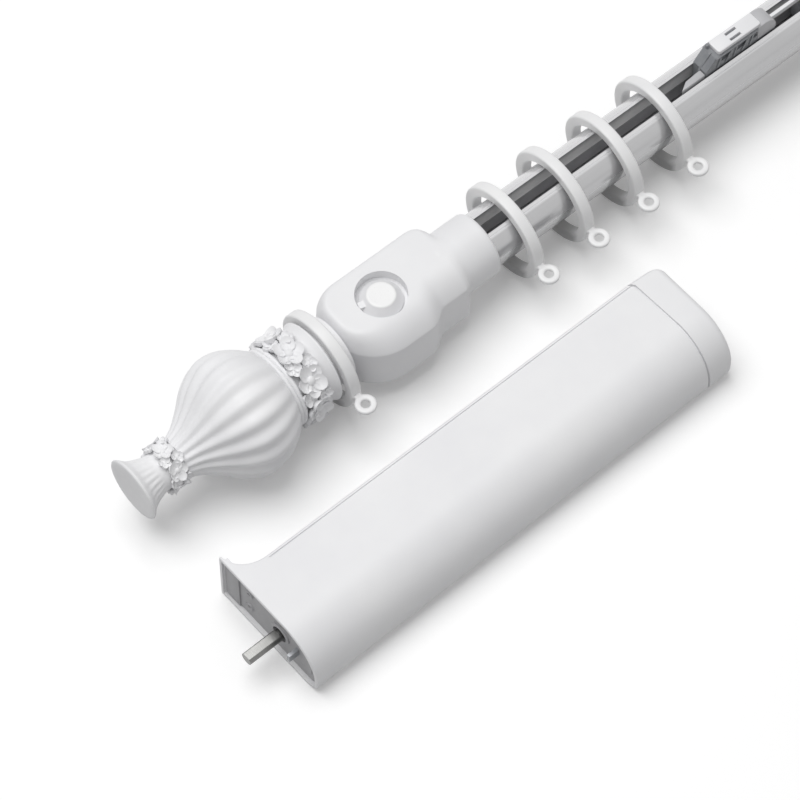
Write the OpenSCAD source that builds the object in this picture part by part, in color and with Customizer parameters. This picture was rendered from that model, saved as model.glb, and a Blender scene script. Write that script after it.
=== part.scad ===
/* [Rod] */
// Outer diameter of the slotted rod
rod_d = 28; // [26:1:30]
// Wall of the rod
rod_wall = 1.5; // [1.2:0.1:1.8]
// Width of the slot that faces up
slot_w = 10; // [9.6:0.1:10.6]
// Distance between the drive axis and the idler axis
axis_span = 800; // [500:10:1500]

/* [Belt] */
// Teeth on each belt pulley
pulley_teeth = 14; // [13:1:15]
// Pitch of the toothed belt
belt_pitch = 3; // [2.9:0.05:3.1]
// Height of the belt, which stands on edge
belt_h = 10.2; // [9:0.1:10.6]
// Thickness of the belt
belt_t = 1.3; // [1.1:0.1:1.5]

/* [Housings] */
// Radius of the rounded head round the drive axis
head_r = 23.5; // [23:0.5:26]
// Distance from the underside to the rod's axis
rod_z = 17.5; // [17:0.5:19]
// Height of the housing
housing_h = 33.5; // [33:0.5:36]
// Height of the joint between body and cover
joint_z = 24; // [23.5:0.5:25]
// Reach of the block from the drive axis towards the rod
block_x = 39; // [36:1:44]
// Length of the collar that holds the rod
collar_len = 18.7; // [14:0.1:24]
// Depth of the block in front of the rod's axis
block_front = 18.8; // [18.5:0.1:21]
// Radius of the round recess over the drive hub
recess_r = 12.1; // [10:0.1:12.6]
// Radius of the turning hub cap's flat top in the recess
hub_cap_r = 6.4; // [5.5:0.1:7]

/* [Motor socket] */
// Radius of the socket that takes the motor shaft
socket_r = 3.05; // [3.03:0.01:3.1]
// Depth of the socket's round mouth
socket_mouth = 6; // [5:0.5:8]
// Depth of the socket
socket_len = 19.5; // [19:0.1:20.5]

/* [Finials] */
// Largest radius of the fluted bulb
bulb_r = 30.3; // [30.2:0.1:33]
// Flutes round the bulb
flutes = 18; // [14:1:22]
// Depth of a flute at the widest place
flute_depth = 1.9; // [1:0.1:2.5]
// Radius of the flared foot
foot_r = 15.6; // [14:0.1:18]
// Radius of the band that carries the large flowers
band_r = 17.7; // [16.5:0.1:18.5]
// Radius of the flared collar beside the end ring
collar_r = 20.5; // [20:0.1:22]
// Radius of the spigot that the end ring hangs on
spigot_r = 16; // [15:0.1:17]
// Width across a large flower
flower_d = 10.4; // [9:0.1:10.4]
// Large flowers round the neck
flowers = 9; // [7:1:9]

/* [Rings] */
// Outside diameter of a curtain ring
ring_od = 49.5; // [47:0.5:51]
// Wall of a curtain ring
ring_wall = 5.45; // [5.2:0.05:6]
// Width of a ring along the rod
ring_w = 5.8; // [5:0.1:6]
// Distance from the collar to the first ring on the rod
ring_start = 15.3; // [12:0.1:18]
// Spacing of the four rings on the rod
ring_pitch = 30.1; // [28:0.1:30.4]
// Outside diameter of a ring's eyelet
eye_od = 10.3; // [9:0.1:11]
// Radius of the hole in a ring's eyelet
eye_r = 2.1; // [1.8:0.1:2.6]
// Thickness of a ring's eyelet
eye_t = 2.4; // [2:0.1:3]

/* [Carrier] */
// Distance from the last ring to the middle of the carrier's top plate
plate_gap = 48.2; // [46:0.1:60]
// Length of the carrier's top plate
plate_len = 26; // [22:1:30]
// Width of the carrier's top plate
plate_w = 8; // [7:0.5:9]
// Height of the top plate's upper face over the rod's axis
plate_top = 25; // [23:0.5:27]
// Radius of a running wheel
wheel_r = 3.5; // [3.2:0.1:3.6]

/* [Motor] */
// Distance from the bulb's side to the middle of the motor
motor_gap = 60.1; // [58:0.1:90]
// Length of the motor
motor_len = 246; // [220:1:280]
// Width of the motor's body
motor_w = 53.5; // [50:0.5:56]
// Height of the motor
motor_h = 33; // [32:0.5:40]
// Reach of the end flange behind the body
flange_reach = 12.5; // [8:0.5:14]
// Wall of the motor's case
case_wall = 1.8; // [1.5:0.1:2.4]
// Length of the far end cap
motor_cap_len = 15; // [9:0.5:16]
// Radius of the output shaft
shaft_r = 3; // [2.96:0.01:3]
// Reach of the output shaft out of the end flange
shaft_reach = 17.5; // [15:0.5:19]
// Turn of the motor as it lies beside the track
motor_yaw = 0.9; // [0:0.1:3]

/* [Hidden] */
$fn = 64;

// Clearances
seat = 0.02;
run = 0.05;
free = 0.3;
tiny = 0.01;

// Rod and belt, with heights taken from the rod's axis
rod_r = rod_d / 2;
web_t = 1.2;
groove_y = slot_w / 2 + 1.8;
groove_r = 0.35;
web_foot = 3.2;
floor_top = -9.6;
floor_t = 1.0;
pitch_r = pulley_teeth * belt_pitch / (2 * PI);
belt_low = floor_top + 1.0;
belt_high = belt_low + belt_h;
belt_in = pitch_r - belt_t / 2;
belt_out = pitch_r + belt_t / 2;

// Housings, with heights taken from the underside
head_x = -4.5;
head_y = -0.6;
block_back = 21.4;
back_corner = 10;
bulge_r = 10;
bulge_x = 9.5;
bulge_y = head_y - head_r + bulge_r;
ramp_a = 35;
ramp_r = 5;
corner_r = 4.5;
cover_w = 16;
cover_back = 6;
cover_curve = 2.6;
cover_steps = 9;
boss_x = head_x - head_r;
boss_r = 9;
rod_start = 13;
collar_end = block_x + collar_len;
collar_out_r = rod_r + 2.2;
chamber_r = 9.5;
bearing_r = 8;
hub_r = 5;
flange_r = 8.2;
flange_t = 0.8;
belt_z0 = rod_z + belt_low;
belt_z1 = rod_z + belt_high;
flange_z0 = belt_z0 - free - flange_t;
flange_z1 = belt_z1 + free;
bottom_t = 4;
chamber_z0 = flange_z0 - 0.2;
upper_bearing_h = 2.5;
recess_z = joint_z + upper_bearing_h + 1.5;
hub_top = recess_z + 0.35;
stub_r = 3.5;
stub_h = 2.2;
hub_base_r = 8.6;
hub_base_h = 1.2;
hub_cap_h = 5;
pointer_a = 165;
pointer_w = 3.6;
axle_r = 2.5;
flat_depth = 0.7;
screw_r = 1.1;
screw_head_r = 1.9;
screw_z = 0.4;
screw_head_h = 2;
screw_top = 29;
screw_spots = [[9.5, 15], [9.5, -15], [-17, 11], [-17, -11]];
tongue_y = -11.5;
tongue_w = 1.6;
tongue_h = 5;
tongue_depth = 6;

// Finials, measured from the tip of the foot along the rod
waist_r = 9.2;
foot_u = 24.5;
bulb_end = 79.5;
band_u = 83.5;
collar_u = 94.5;
collar_w = 8.5;
spigot_u = collar_u + collar_w;
spigot_end = spigot_u + 11;
tip_x = boss_x - spigot_end;
bead_r = 1.1;
bead_pitch = 1.9 * bead_r;
beads_end = bulb_end + 0.1 + 2 * bead_r + bead_pitch;
stud_r = 5;
stud_in = 13;
small_flower_d = 9.4;
small_flowers = 6;
bulb_outline = [[24.5, 0.33], [31, 0.425], [38, 0.6], [46, 0.828], [54, 0.972], [60, 1],
                [66, 0.967], [71, 0.895], [76, 0.785], [79.5, 0.68]];
flute_points = 6;
bulb_steps = 20;

// Rings
ring_id = ring_od - 2 * ring_wall;
ring_drop = ring_id / 2 - rod_r - free;
end_ring_drop = ring_id / 2 - spigot_r - free;
ring_0_x = boss_x - 6.5;
ring_1_x = collar_end + ring_start;
ring_round = 0.29 * (ring_od - ring_id) / 2;
eye_reach = ring_od / 2 + eye_od / 2 + 0.9;

// Carrier, with heights taken from the rod's axis
plate_x = ring_1_x + 3 * ring_pitch + plate_gap;
body_x0 = plate_x - plate_len / 2 - 8.5;
body_x1 = plate_x + plate_len / 2 + 8.5;
shank_w = slot_w - 1.4;
keel_w = 3.8;
wheel_z = floor_top + wheel_r + 2 * run;
wheel_w = 2;
wheel_in = keel_w / 2 + 0.2;
pin_r = 1;
fork_r = pin_r + 0.9;
front_wheel_x = body_x1 - 11;
rear_wheel_x = body_x0 + 10;
shank_low = wheel_z + wheel_r + free;
body_top = plate_top - 2.5;
window_pitch = 9;
window_w = 6;
arm_x = body_x0 - 14;
link_t = 1.6;
link_z = 15.5;
link_h = 3;
link_len = 19;
trailer_len = 22;
trailer_x0 = body_x1 + link_len;
trailer_x1 = trailer_x0 + trailer_len;
trailer_wheel_x = (trailer_x0 + trailer_x1) / 2;

// Motor, in its own frame from the middle of its shaft at the end flange
floor_z = rod_z - bulb_r;
motor_x = tip_x + 8.5;
motor_y = -bulb_r - motor_gap;
shaft_z = motor_h / 2;
front_y = -motor_w / 2;
back_y = motor_w / 2;
top_round = 22.5;
low_round = 8;
back_round = 3;
flange_len = 4;
flare_r = flange_reach;
face_x = 2;
face_t = 1.4;
shaft_core_r = 2.6;
gearbox_x0 = face_x + face_t;
gearbox_x1 = 40;
can_r = 13.5;
can_len = 90;
can_x1 = gearbox_x1 + can_len;
board_x1 = motor_len - motor_cap_len - 9;

module at_rod() { translate([0, 0, rod_z]) children(); }
module far_end() { translate([axis_span, 0, 0]) mirror([1, 0, 0]) children(); }
// Extrudes a section drawn in Y and Z from x0 to x1
module along_x(x0, x1) { translate([x0, 0, 0]) rotate([90, 0, 90]) linear_extrude(x1 - x0) children(); }
// Extrudes an outline drawn in X and Z to both sides of y = 0
module across_y(w) { rotate([90, 0, 0]) linear_extrude(w, center = true) children(); }
// Turns a profile of axial place and radius round the X axis
module turned(x0) { translate([x0, 0, 0]) rotate([90, 0, 90]) rotate_extrude($fn = 96) children(); }
module x_rod(x0, x1, r) { translate([x0, 0, 0]) rotate([0, 90, 0]) cylinder(h = x1 - x0, r = r); }
module slab(x0, x1, y0, y1, z0, z1) { translate([x0, y0, z0]) cube([x1 - x0, y1 - y0, z1 - z0]); }

// The extruded rod: a slotted tube with two webs beside the slot and a floor for the wheels
module rod_section() {
    difference() {
        union() {
            difference() {
                circle(r = rod_r, $fn = 96);
                circle(r = rod_r - rod_wall, $fn = 96);
            }
            intersection() {
                circle(r = rod_r - rod_wall / 2, $fn = 96);
                union() {
                    for (s = [-1, 1])
                        translate([s * (slot_w + web_t) / 2, (web_foot + rod_r) / 2])
                            square([web_t, rod_r - web_foot], center = true);
                    translate([-rod_r, floor_top - floor_t]) square([2 * rod_r, floor_t]);
                }
            }
        }
        translate([-slot_w / 2, web_foot]) square([slot_w, rod_r]);
        for (s = [-1, 1]) translate([s * groove_y, sqrt(rod_r * rod_r - groove_y * groove_y) + 0.2])
            circle(r = groove_r, $fn = 24);
    }
}

module rod() {
    color([0.82, 0.83, 0.85]) at_rod() along_x(rod_start, axis_span - rod_start) rod_section();
}

module belt_loop(r) {
    for (x = [0, axis_span]) translate([x, 0]) circle(r = r);
    translate([0, -r]) square([axis_span, 2 * r]);
}

module belt() {
    color([0.16, 0.16, 0.17]) translate([0, 0, belt_z0]) linear_extrude(belt_h) difference() {
        belt_loop(belt_out);
        belt_loop(belt_in);
    }
}

function mix(a, b, t) = a + (b - a) * t;
function arc(x, y, r, a0, a1, n) = [for (i = [0:n]) let (a = mix(a0, a1, i / n)) [x + r * cos(a), y + r * sin(a)]];

function moved_y(points, dy) = [for (p = points) [p[0], p[1] + dy]];

// Outline of a housing seen from above: rounded back corner, round head, bulge to the front,
// ramp and block; t slides it up the cover's slope from the edge at 0 to the flat top at 1
ramp_rise = bulge_r * cos(ramp_a) - bulge_y - block_front - ramp_r * (1 - cos(ramp_a));
ramp_x = bulge_x + (bulge_r + ramp_r) * sin(ramp_a) + ramp_rise / tan(ramp_a);
function head_arc(t) = [for (k = [0:24])
    let (a = 180 + 90 * k / 24, r = head_r - t * mix(cover_back, cover_w, pow(-sin(a), 1.2)))
    [head_x + r * cos(a), head_y + r * sin(a)]];
function housing_plan(t = 0) = concat(
    moved_y(arc(block_x - corner_r, block_back - corner_r, corner_r, 0, 90, 8), -t * cover_back),
    arc(boss_x + back_corner, block_back - back_corner, back_corner - t * cover_back, 90, 180, 14),
    head_arc(t),
    moved_y(concat(arc(bulge_x, bulge_y, bulge_r, 270, 270 + ramp_a, 6),
                   arc(ramp_x, -block_front - ramp_r, ramp_r, 90 + ramp_a, 90, 5),
                   arc(block_x - corner_r, corner_r - block_front, corner_r, 270, 360, 8)), t * cover_w));
function cover_ring(t) = [for (p = housing_plan(t))
    [p[0], p[1], mix(housing_h, joint_z, pow(1 - t, cover_curve))]];

// A cover that rises from a crisp edge at the joint and flattens towards its middle
module cover_form() {
    n = len(housing_plan());
    points = [for (i = [0:cover_steps]) each cover_ring(i / cover_steps)];
    walls = [for (i = [0:cover_steps - 1], k = [0:n - 1])
        [i * n + k, i * n + (k + 1) % n, (i + 1) * n + (k + 1) % n, (i + 1) * n + k]];
    polyhedron(points = points,
               faces = concat([[for (k = [n - 1:-1:0]) k]], walls,
                              [[for (k = [0:n - 1]) cover_steps * n + k]]), convexity = 6);
}

module body_form() {
    linear_extrude(joint_z) polygon(housing_plan());
    intersection() {
        at_rod() x_rod(boss_x, head_x, boss_r);
        slab(boss_x - 1, head_x + 1, -boss_r - 1, boss_r + 1, 0, joint_z);
    }
}

module housing_collar() {
    at_rod() turned(block_x) polygon([[0, 0], [collar_out_r, 0], [collar_out_r, collar_len - 1.5],
                                      [collar_out_r - 0.5, collar_len - 0.5],
                                      [collar_out_r - 1.5, collar_len], [0, collar_len]]);
}

module screw_holes(r_body, r_head) {
    for (p = screw_spots) translate([p[0], p[1], 0]) {
        translate([0, 0, -1]) cylinder(h = screw_top + 1.5, r = r_body);
        translate([0, 0, -1]) cylinder(h = screw_z + screw_head_h + 1, r = r_head);
    }
}

// What every housing holds: the rod, the belt, the stud of its finial and its screws
module housing_hollow() {
    at_rod() x_rod(rod_start - 0.2, collar_end + 1, rod_r + 0.1);
    slab(0, rod_start, -chamber_r, chamber_r, chamber_z0, belt_z1 + free + flange_t + 0.2);
    translate([0, 0, chamber_z0]) cylinder(h = joint_z - chamber_z0, r = chamber_r);
    at_rod() x_rod(boss_x - 1, boss_x + stud_in, stud_r + seat);
    screw_holes(screw_r + seat, screw_head_r + 0.1);
}

module body_blank() {
    difference() {
        union() {
            body_form();
            housing_collar();
        }
        housing_hollow();
    }
}

module cover_blank() {
    difference() {
        cover_form();
        housing_hollow();
    }
}

module drive_body() {
    color([0.93, 0.93, 0.94]) difference() {
        body_blank();
        translate([0, 0, -1]) cylinder(h = bottom_t + 2, r = hub_r + free);
        translate([0, 0, bottom_t]) cylinder(h = chamber_z0 - bottom_t + tiny, r = bearing_r + seat);
        slab(-tongue_h / 2 - free, tongue_h / 2 + free, tongue_y - tongue_w / 2 - free,
             tongue_y + tongue_w / 2 + free, -1, tongue_depth);
    }
}

module drive_cover() {
    color([0.93, 0.93, 0.94]) difference() {
        cover_blank();
        translate([0, 0, joint_z - 1]) cylinder(h = upper_bearing_h + 1, r = bearing_r + seat);
        translate([0, 0, joint_z]) cylinder(h = housing_h, r = hub_r + free);
        translate([0, 0, recess_z]) cylinder(h = housing_h, r = recess_r);
    }
}

module bearing_ring(z0, z1) {
    color([0.72, 0.73, 0.75]) translate([0, 0, z0]) difference() {
        cylinder(h = z1 - z0, r = bearing_r);
        translate([0, 0, -1]) cylinder(h = z1 - z0 + 2, r = hub_r + run);
    }
}

module drive_bearing_lower() { bearing_ring(bottom_t, flange_z0 - run - 0.2); }
module drive_bearing_upper() { bearing_ring(joint_z, joint_z + upper_bearing_h); }

module screw_set() {
    color([0.6, 0.6, 0.62]) for (p = screw_spots) translate([p[0], p[1], 0]) {
        translate([0, 0, screw_z]) difference() {
            cylinder(h = screw_head_h, r = screw_head_r);
            translate([0, 0, -1]) cylinder(h = 2, r = 0.8, $fn = 6);
        }
        translate([0, 0, screw_z + screw_head_h]) cylinder(h = screw_top - screw_z - screw_head_h, r = screw_r);
    }
}

module drive_screws() { screw_set(); }

// A toothed belt wheel between two flanges
module belt_wheel() {
    tip_r = belt_in - run;
    translate([0, 0, flange_z0]) cylinder(h = flange_t, r = flange_r);
    translate([0, 0, flange_z1]) cylinder(h = flange_t, r = flange_r);
    difference() {
        translate([0, 0, flange_z0]) cylinder(h = flange_z1 - flange_z0 + tiny, r = tip_r);
        for (i = [0:pulley_teeth - 1]) rotate(i * 360 / pulley_teeth)
            translate([tip_r, 0, flange_z0 + flange_t]) cylinder(h = flange_z1 - flange_z0 - flange_t, r = 0.7, $fn = 24);
    }
}

// A round mouth that guides the shaft, then a wider broach whose one flat drives it
module shaft_socket() {
    translate([0, 0, -1]) cylinder(h = socket_mouth + 1, r = socket_r);
    difference() {
        translate([0, 0, socket_mouth - tiny]) cylinder(h = socket_len - socket_mouth + tiny, r = socket_r + 0.2);
        slab(socket_r - flat_depth, socket_r + 1, -socket_r - 1, socket_r + 1, 0, socket_len + 1);
    }
}

module drive_pulley() {
    color([0.86, 0.86, 0.88]) difference() {
        union() {
            belt_wheel();
            cylinder(h = flange_z0 + tiny, r = hub_r);
            translate([0, 0, flange_z1]) cylinder(h = hub_top - flange_z1, r = hub_r);
            translate([0, 0, hub_top - 1]) cylinder(h = stub_h + 1, r = stub_r);
        }
        shaft_socket();
    }
}

// The disc that turns in the recess, with a pointer that shows it turning
module drive_hub_cap() {
    color([0.95, 0.95, 0.96]) translate([0, 0, hub_top]) difference() {
        union() {
            cylinder(h = hub_base_h, r = hub_base_r);
            translate([0, 0, hub_base_h]) cylinder(h = hub_cap_h - hub_base_h, r1 = hub_base_r - 0.4, r2 = hub_cap_r);
            rotate(pointer_a) slab(0, recess_r - 0.7, -pointer_w / 2, pointer_w / 2, 0, hub_cap_h / 2 + 0.4);
        }
        translate([0, 0, -1]) cylinder(h = stub_h + 1.1, r = stub_r + seat);
    }
}

module idler_body() {
    color([0.93, 0.93, 0.94]) far_end() difference() {
        body_blank();
        translate([0, 0, bottom_t]) cylinder(h = joint_z, r = axle_r + seat);
    }
}

module idler_cover() {
    color([0.93, 0.93, 0.94]) far_end() difference() {
        cover_blank();
        translate([0, 0, joint_z - 1]) cylinder(h = upper_bearing_h + 1.5, r = axle_r + seat);
    }
}

module idler_axle() {
    color([0.7, 0.71, 0.73]) far_end() {
        translate([0, 0, bottom_t]) cylinder(h = joint_z + upper_bearing_h - bottom_t, r = axle_r);
        translate([0, 0, chamber_z0]) cylinder(h = flange_z0 - run - chamber_z0, r = axle_r + 1.5);
    }
}

module idler_screws() { far_end() screw_set(); }

module idler_pulley() {
    color([0.86, 0.86, 0.88]) far_end() difference() {
        belt_wheel();
        cylinder(h = joint_z, r = axle_r + run);
    }
}

// Finial, drawn from its tip at u = 0 towards the housing
function outline_at(p, u, i = 0) =
    i >= len(p) - 2 || u <= p[i + 1][0]
        ? let (a = p[max(i - 1, 0)], b = p[i], c = p[i + 1], d = p[min(i + 2, len(p) - 1)],
               t = (u - b[0]) / (c[0] - b[0]),
               m0 = (c[1] - a[1]) / (c[0] - a[0]) * (c[0] - b[0]),
               m1 = (d[1] - b[1]) / (d[0] - b[0]) * (c[0] - b[0]))
          (2 * pow(t, 3) - 3 * t * t + 1) * b[1] + (pow(t, 3) - 2 * t * t + t) * m0
              + (3 * t * t - 2 * pow(t, 3)) * c[1] + (pow(t, 3) - t * t) * m1
        : outline_at(p, u, i + 1);
function bulb_at(u) = bulb_r * outline_at(bulb_outline, u);
function flute_at(u) = flute_depth * (0.25 + 0.75 * sin(180 * (u - foot_u) / (bulb_end - foot_u)));

// One ring of points of the bulb, with a ridge straight below its axis
function bulb_ring(u) = [for (k = [0:flutes * flute_points - 1])
    let (a = -90 + 360 * k / (flutes * flute_points),
         r = bulb_at(u) - flute_at(u) * (1 - cos(360 * k / flute_points)) / 2)
    [u, r * cos(a), r * sin(a)]];

module fluted_bulb() {
    n = flutes * flute_points;
    points = [for (s = [0:bulb_steps]) each bulb_ring(mix(foot_u, bulb_end, s / bulb_steps))];
    walls = [for (s = [0:bulb_steps - 1], k = [0:n - 1])
        [s * n + k, s * n + (k + 1) % n, (s + 1) * n + (k + 1) % n, (s + 1) * n + k]];
    polyhedron(points = points,
               faces = concat([[for (k = [n - 1:-1:0]) k]], walls,
                              [[for (k = [0:n - 1]) bulb_steps * n + k]]), convexity = 4);
}

module finial_foot() {
    color([0.92, 0.92, 0.93]) turned(0)
        polygon([[0, 0.3], [foot_r - 3, 0], [foot_r - 0.6, 0.2], [foot_r, 0.9], [foot_r - 0.7, 2],
                 [foot_r - 2.8, 4], [foot_r - 4.8, 7], [waist_r + 0.9, 10], [waist_r + 0.2, 12.5],
                 [waist_r, 14], [waist_r, foot_u], [0, foot_u]]);
}

module finial_bulb() { color([0.92, 0.92, 0.93]) fluted_bulb(); }

// Beads, the band that carries the flowers, a collar that flares towards the end ring, and the spigot
module finial_neck() {
    color([0.92, 0.92, 0.93]) difference() {
        turned(0) union() {
            polygon([[0, bulb_end], [band_r + 1.3, bulb_end], [band_r + 1.3, band_u - 0.4], [band_r, band_u],
                     [band_r, collar_u], [band_r + 0.5, collar_u + 2.5], [band_r + 1.4, collar_u + 5],
                     [collar_r - 0.3, spigot_u - 1.3], [collar_r, spigot_u - 0.8], [collar_r - 0.2, spigot_u - 0.2],
                     [collar_r - 0.7, spigot_u], [spigot_r, spigot_u], [spigot_r, spigot_end], [0, spigot_end]]);
            for (i = [0:1]) translate([band_r + 1.5, bulb_end + bead_r + 0.1 + i * bead_pitch])
                circle(r = bead_r, $fn = 24);
        }
        x_rod(spigot_end - stud_in - 0.5, spigot_end + 1, stud_r + seat);
    }
}

module finial_stud() {
    color([0.7, 0.71, 0.73]) x_rod(spigot_end - stud_in, spigot_end + stud_in - 0.5, stud_r);
}

// A dished flower of five petals, face up
module flower(d, t) {
    petal_r = d * 0.215;
    difference() {
        linear_extrude(t) union() {
            for (i = [0:4]) rotate(i * 72) translate([d / 2 - petal_r, 0]) circle(r = petal_r, $fn = 32);
            circle(r = d * 0.2, $fn = 32);
        }
        translate([0, 0, t + d * 0.62]) sphere(r = d * 0.72);
    }
    translate([0, 0, t - d * 0.1]) sphere(r = d * 0.11, $fn = 24);
}

module garland(u, r, n, d, rise) {
    color([0.93, 0.93, 0.94]) difference() {
        for (i = [0:n - 1]) rotate([360 * (i + 0.5) / n, 0, 0]) translate([u, 0, r - d * 0.2])
            rotate(i * 29) flower(d, d * 0.2 + rise);
        x_rod(u - d, u + d, r);
    }
}

module finial_small_garland() { garland(foot_u - small_flower_d / 2 - 0.2, waist_r, small_flowers, small_flower_d, 1.8); }
module finial_large_garland() { garland((beads_end + collar_u) / 2, band_r, flowers, flower_d, 2.8); }
module near_finial() { at_rod() translate([tip_x, 0, 0]) children(); }
module far_finial() { far_end() near_finial() children(); }

module near_finial_foot() { near_finial() finial_foot(); }
module near_finial_bulb() { near_finial() finial_bulb(); }
module near_finial_neck() { near_finial() finial_neck(); }
module near_finial_stud() { near_finial() finial_stud(); }
module near_small_garland() { near_finial() finial_small_garland(); }
module near_large_garland() { near_finial() finial_large_garland(); }
module far_finial_foot() { far_finial() finial_foot(); }
module far_finial_bulb() { far_finial() finial_bulb(); }
module far_finial_neck() { far_finial() finial_neck(); }
module far_finial_stud() { far_finial() finial_stud(); }
module far_small_garland() { far_finial() finial_small_garland(); }
module far_large_garland() { far_finial() finial_large_garland(); }

// Curtain rings, each hanging on the rod with its eyelet to the front
function ring_x(i) = i == 0 ? ring_0_x : ring_1_x + (i - 1) * ring_pitch;

module ring_place(i) { translate([ring_x(i), 0, rod_z - (i == 0 ? end_ring_drop : ring_drop)]) children(); }

module ring_band(i) {
    color([0.94, 0.94, 0.95]) ring_place(i) rotate([0, 90, 0]) rotate_extrude($fn = 96)
        difference() {
            translate([ring_id / 2, -ring_w / 2]) square([(ring_od - ring_id) / 2, ring_w]);
            for (s = [-1, 1], q = [-1, 1])
                translate([(ring_od + ring_id) / 4 + q * ((ring_od - ring_id) / 4 - ring_round),
                           s * (ring_w / 2 - ring_round)])
                    difference() {
                        translate([q > 0 ? 0 : -ring_round - 1, s > 0 ? 0 : -ring_round - 1])
                            square(ring_round + 1);
                        circle(r = ring_round, $fn = 32);
                    }
        }
}

module ring_eyelet(i) {
    color([0.94, 0.94, 0.95]) ring_place(i) difference() {
        union() {
            translate([0, -eye_reach, -eye_t / 2]) cylinder(h = eye_t, r = eye_od / 2);
            slab(-1.9, 1.9, -eye_reach, -ring_od / 2 + 1.5, -eye_t / 2, eye_t / 2);
        }
        translate([0, -eye_reach, -eye_t]) cylinder(h = 2 * eye_t, r = eye_r);
        x_rod(-ring_w, ring_w, ring_od / 2);
    }
}

// Side of the carrier body: a keel between the wheels, a shank in the slot and a hump above it
module carrier_outline() {
    polygon([[body_x0, shank_low], [body_x1, shank_low], [body_x1, rod_r + 2], [plate_x + plate_len / 2 + 3, body_top],
             [plate_x - plate_len / 2 - 3, body_top], [body_x0, rod_r + 2]]);
}

module wheel_carrier(x) {
    across_y(keel_w) difference() {
        union() {
            translate([x, wheel_z]) circle(r = fork_r);
            translate([x - fork_r, wheel_z]) square([2 * fork_r, shank_low - wheel_z + tiny]);
        }
        translate([x, wheel_z]) circle(r = pin_r + run);
    }
}

module carrier_body() {
    color([0.62, 0.63, 0.65]) at_rod() difference() {
        union() {
            across_y(shank_w) carrier_outline();
            wheel_carrier(front_wheel_x);
            wheel_carrier(rear_wheel_x);
        }
        for (x = [front_wheel_x, rear_wheel_x]) for (s = [-1, 1])
            translate([x, s * (shank_w / 2 + keel_w / 2) - s * 0.4, wheel_z]) rotate([90, 0, 0])
                cylinder(h = shank_w - keel_w, r = wheel_r + free, center = true);
        for (i = [-1:1])
            slab(plate_x + i * window_pitch - window_w / 2, plate_x + i * window_pitch + window_w / 2,
                 -shank_w, -shank_w / 2 + 1, rod_r + 3, body_top - 2);
    }
}

module carrier_plate() {
    color([0.95, 0.95, 0.96]) at_rod() difference() {
        slab(plate_x - plate_len / 2, plate_x + plate_len / 2, -plate_w / 2, plate_w / 2, body_top, plate_top);
        for (s = [-1, 1]) slab(plate_x - 3.5, plate_x + 3.5, s * 1.6 - 0.6, s * 1.6 + 0.6, body_top - 1, plate_top + 1);
    }
}

// The sloping arm that meets the last ring
module carrier_arm() {
    color([0.9, 0.9, 0.91]) at_rod() across_y(shank_w - 1.2)
        polygon([[arm_x, rod_r + 0.3], [body_x0, 4], [body_x0, rod_r + 2], [body_x0 - 3, rod_r + 5.5],
                 [arm_x, rod_r + 2]]);
}

// The jaw that grips the front run of the belt
module belt_clamp() {
    x0 = plate_x - 7;
    x1 = plate_x + 7;
    y_in = -belt_in + free;
    y_out = -belt_out - free;
    bridge = belt_high + free;
    color([0.9, 0.9, 0.91]) at_rod() {
        slab(x0, x1, y_in, -shank_w / 2, shank_low, web_foot - free - 0.1);
        slab(x0, x1, y_out - 1, y_in + tiny, bridge, web_foot - free - 0.1);
        slab(x0, x1, y_out - 1, y_out, -6, web_foot - free - 0.1);
    }
}

module carrier_link() {
    color([0.95, 0.95, 0.96]) at_rod()
        slab(body_x1, trailer_x0, -link_t / 2, link_t / 2, link_z - link_h / 2, link_z + link_h / 2);
}

module trailer_body() {
    color([0.62, 0.63, 0.65]) at_rod() difference() {
        union() {
            across_y(shank_w) polygon([[trailer_x0, shank_low], [trailer_x1, shank_low], [trailer_x1, rod_r + 1],
                                       [trailer_x1 - 4, rod_r + 6], [trailer_x0, rod_r + 6]]);
            wheel_carrier(trailer_wheel_x);
        }
        for (s = [-1, 1]) translate([trailer_wheel_x, s * (shank_w / 2 + keel_w / 2) - s * 0.4, wheel_z])
            rotate([90, 0, 0]) cylinder(h = shank_w - keel_w, r = wheel_r + free, center = true);
    }
}

module wheel_pair(x) {
    color([0.25, 0.25, 0.27]) at_rod() translate([x, 0, wheel_z]) rotate([90, 0, 0]) {
        cylinder(h = 2 * (wheel_in + wheel_w), r = pin_r, center = true);
        for (s = [-1, 1]) translate([0, 0, s * (wheel_in + wheel_w / 2)])
            cylinder(h = wheel_w, r = wheel_r, center = true);
    }
}

module front_wheels() { wheel_pair(front_wheel_x); }
module rear_wheels() { wheel_pair(rear_wheel_x); }
module trailer_wheels() { wheel_pair(trailer_wheel_x); }

// Motor
module motor_place() {
    translate([motor_x, motor_y, floor_z]) rotate(motor_yaw) children();
}

module round_corner(y, z, r, sy, sz) {
    translate([y - sy * r, z - sz * r]) difference() {
        translate([sy > 0 ? 0 : -r - 1, sz > 0 ? 0 : -r - 1]) square(r + 1);
        circle(r = r);
    }
}

// Section of the motor, drawn smaller by a wall, with a wide round along its front top edge
module motor_section(inset, back) {
    y0 = front_y + inset;
    y1 = back - inset;
    z0 = inset;
    z1 = motor_h - inset;
    difference() {
        translate([y0, z0]) square([y1 - y0, z1 - z0]);
        round_corner(y0, z1, top_round - inset, -1, 1);
        round_corner(y0, z0, low_round - inset, -1, -1);
        round_corner(y1, z1, back_round - inset, 1, 1);
        round_corner(y1, z0, back_round - inset, 1, -1);
    }
}

// Plan of the flange that sweeps out behind the body at the shaft end
module flange_plan() {
    difference() {
        translate([0, 0]) square([flange_len + flare_r, back_y + flange_reach]);
        translate([flange_len + flare_r, back_y + flare_r]) circle(r = flare_r);
        translate([flange_len, back_y + flare_r]) square([flare_r + 1, flare_r + 1]);
    }
}

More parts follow.
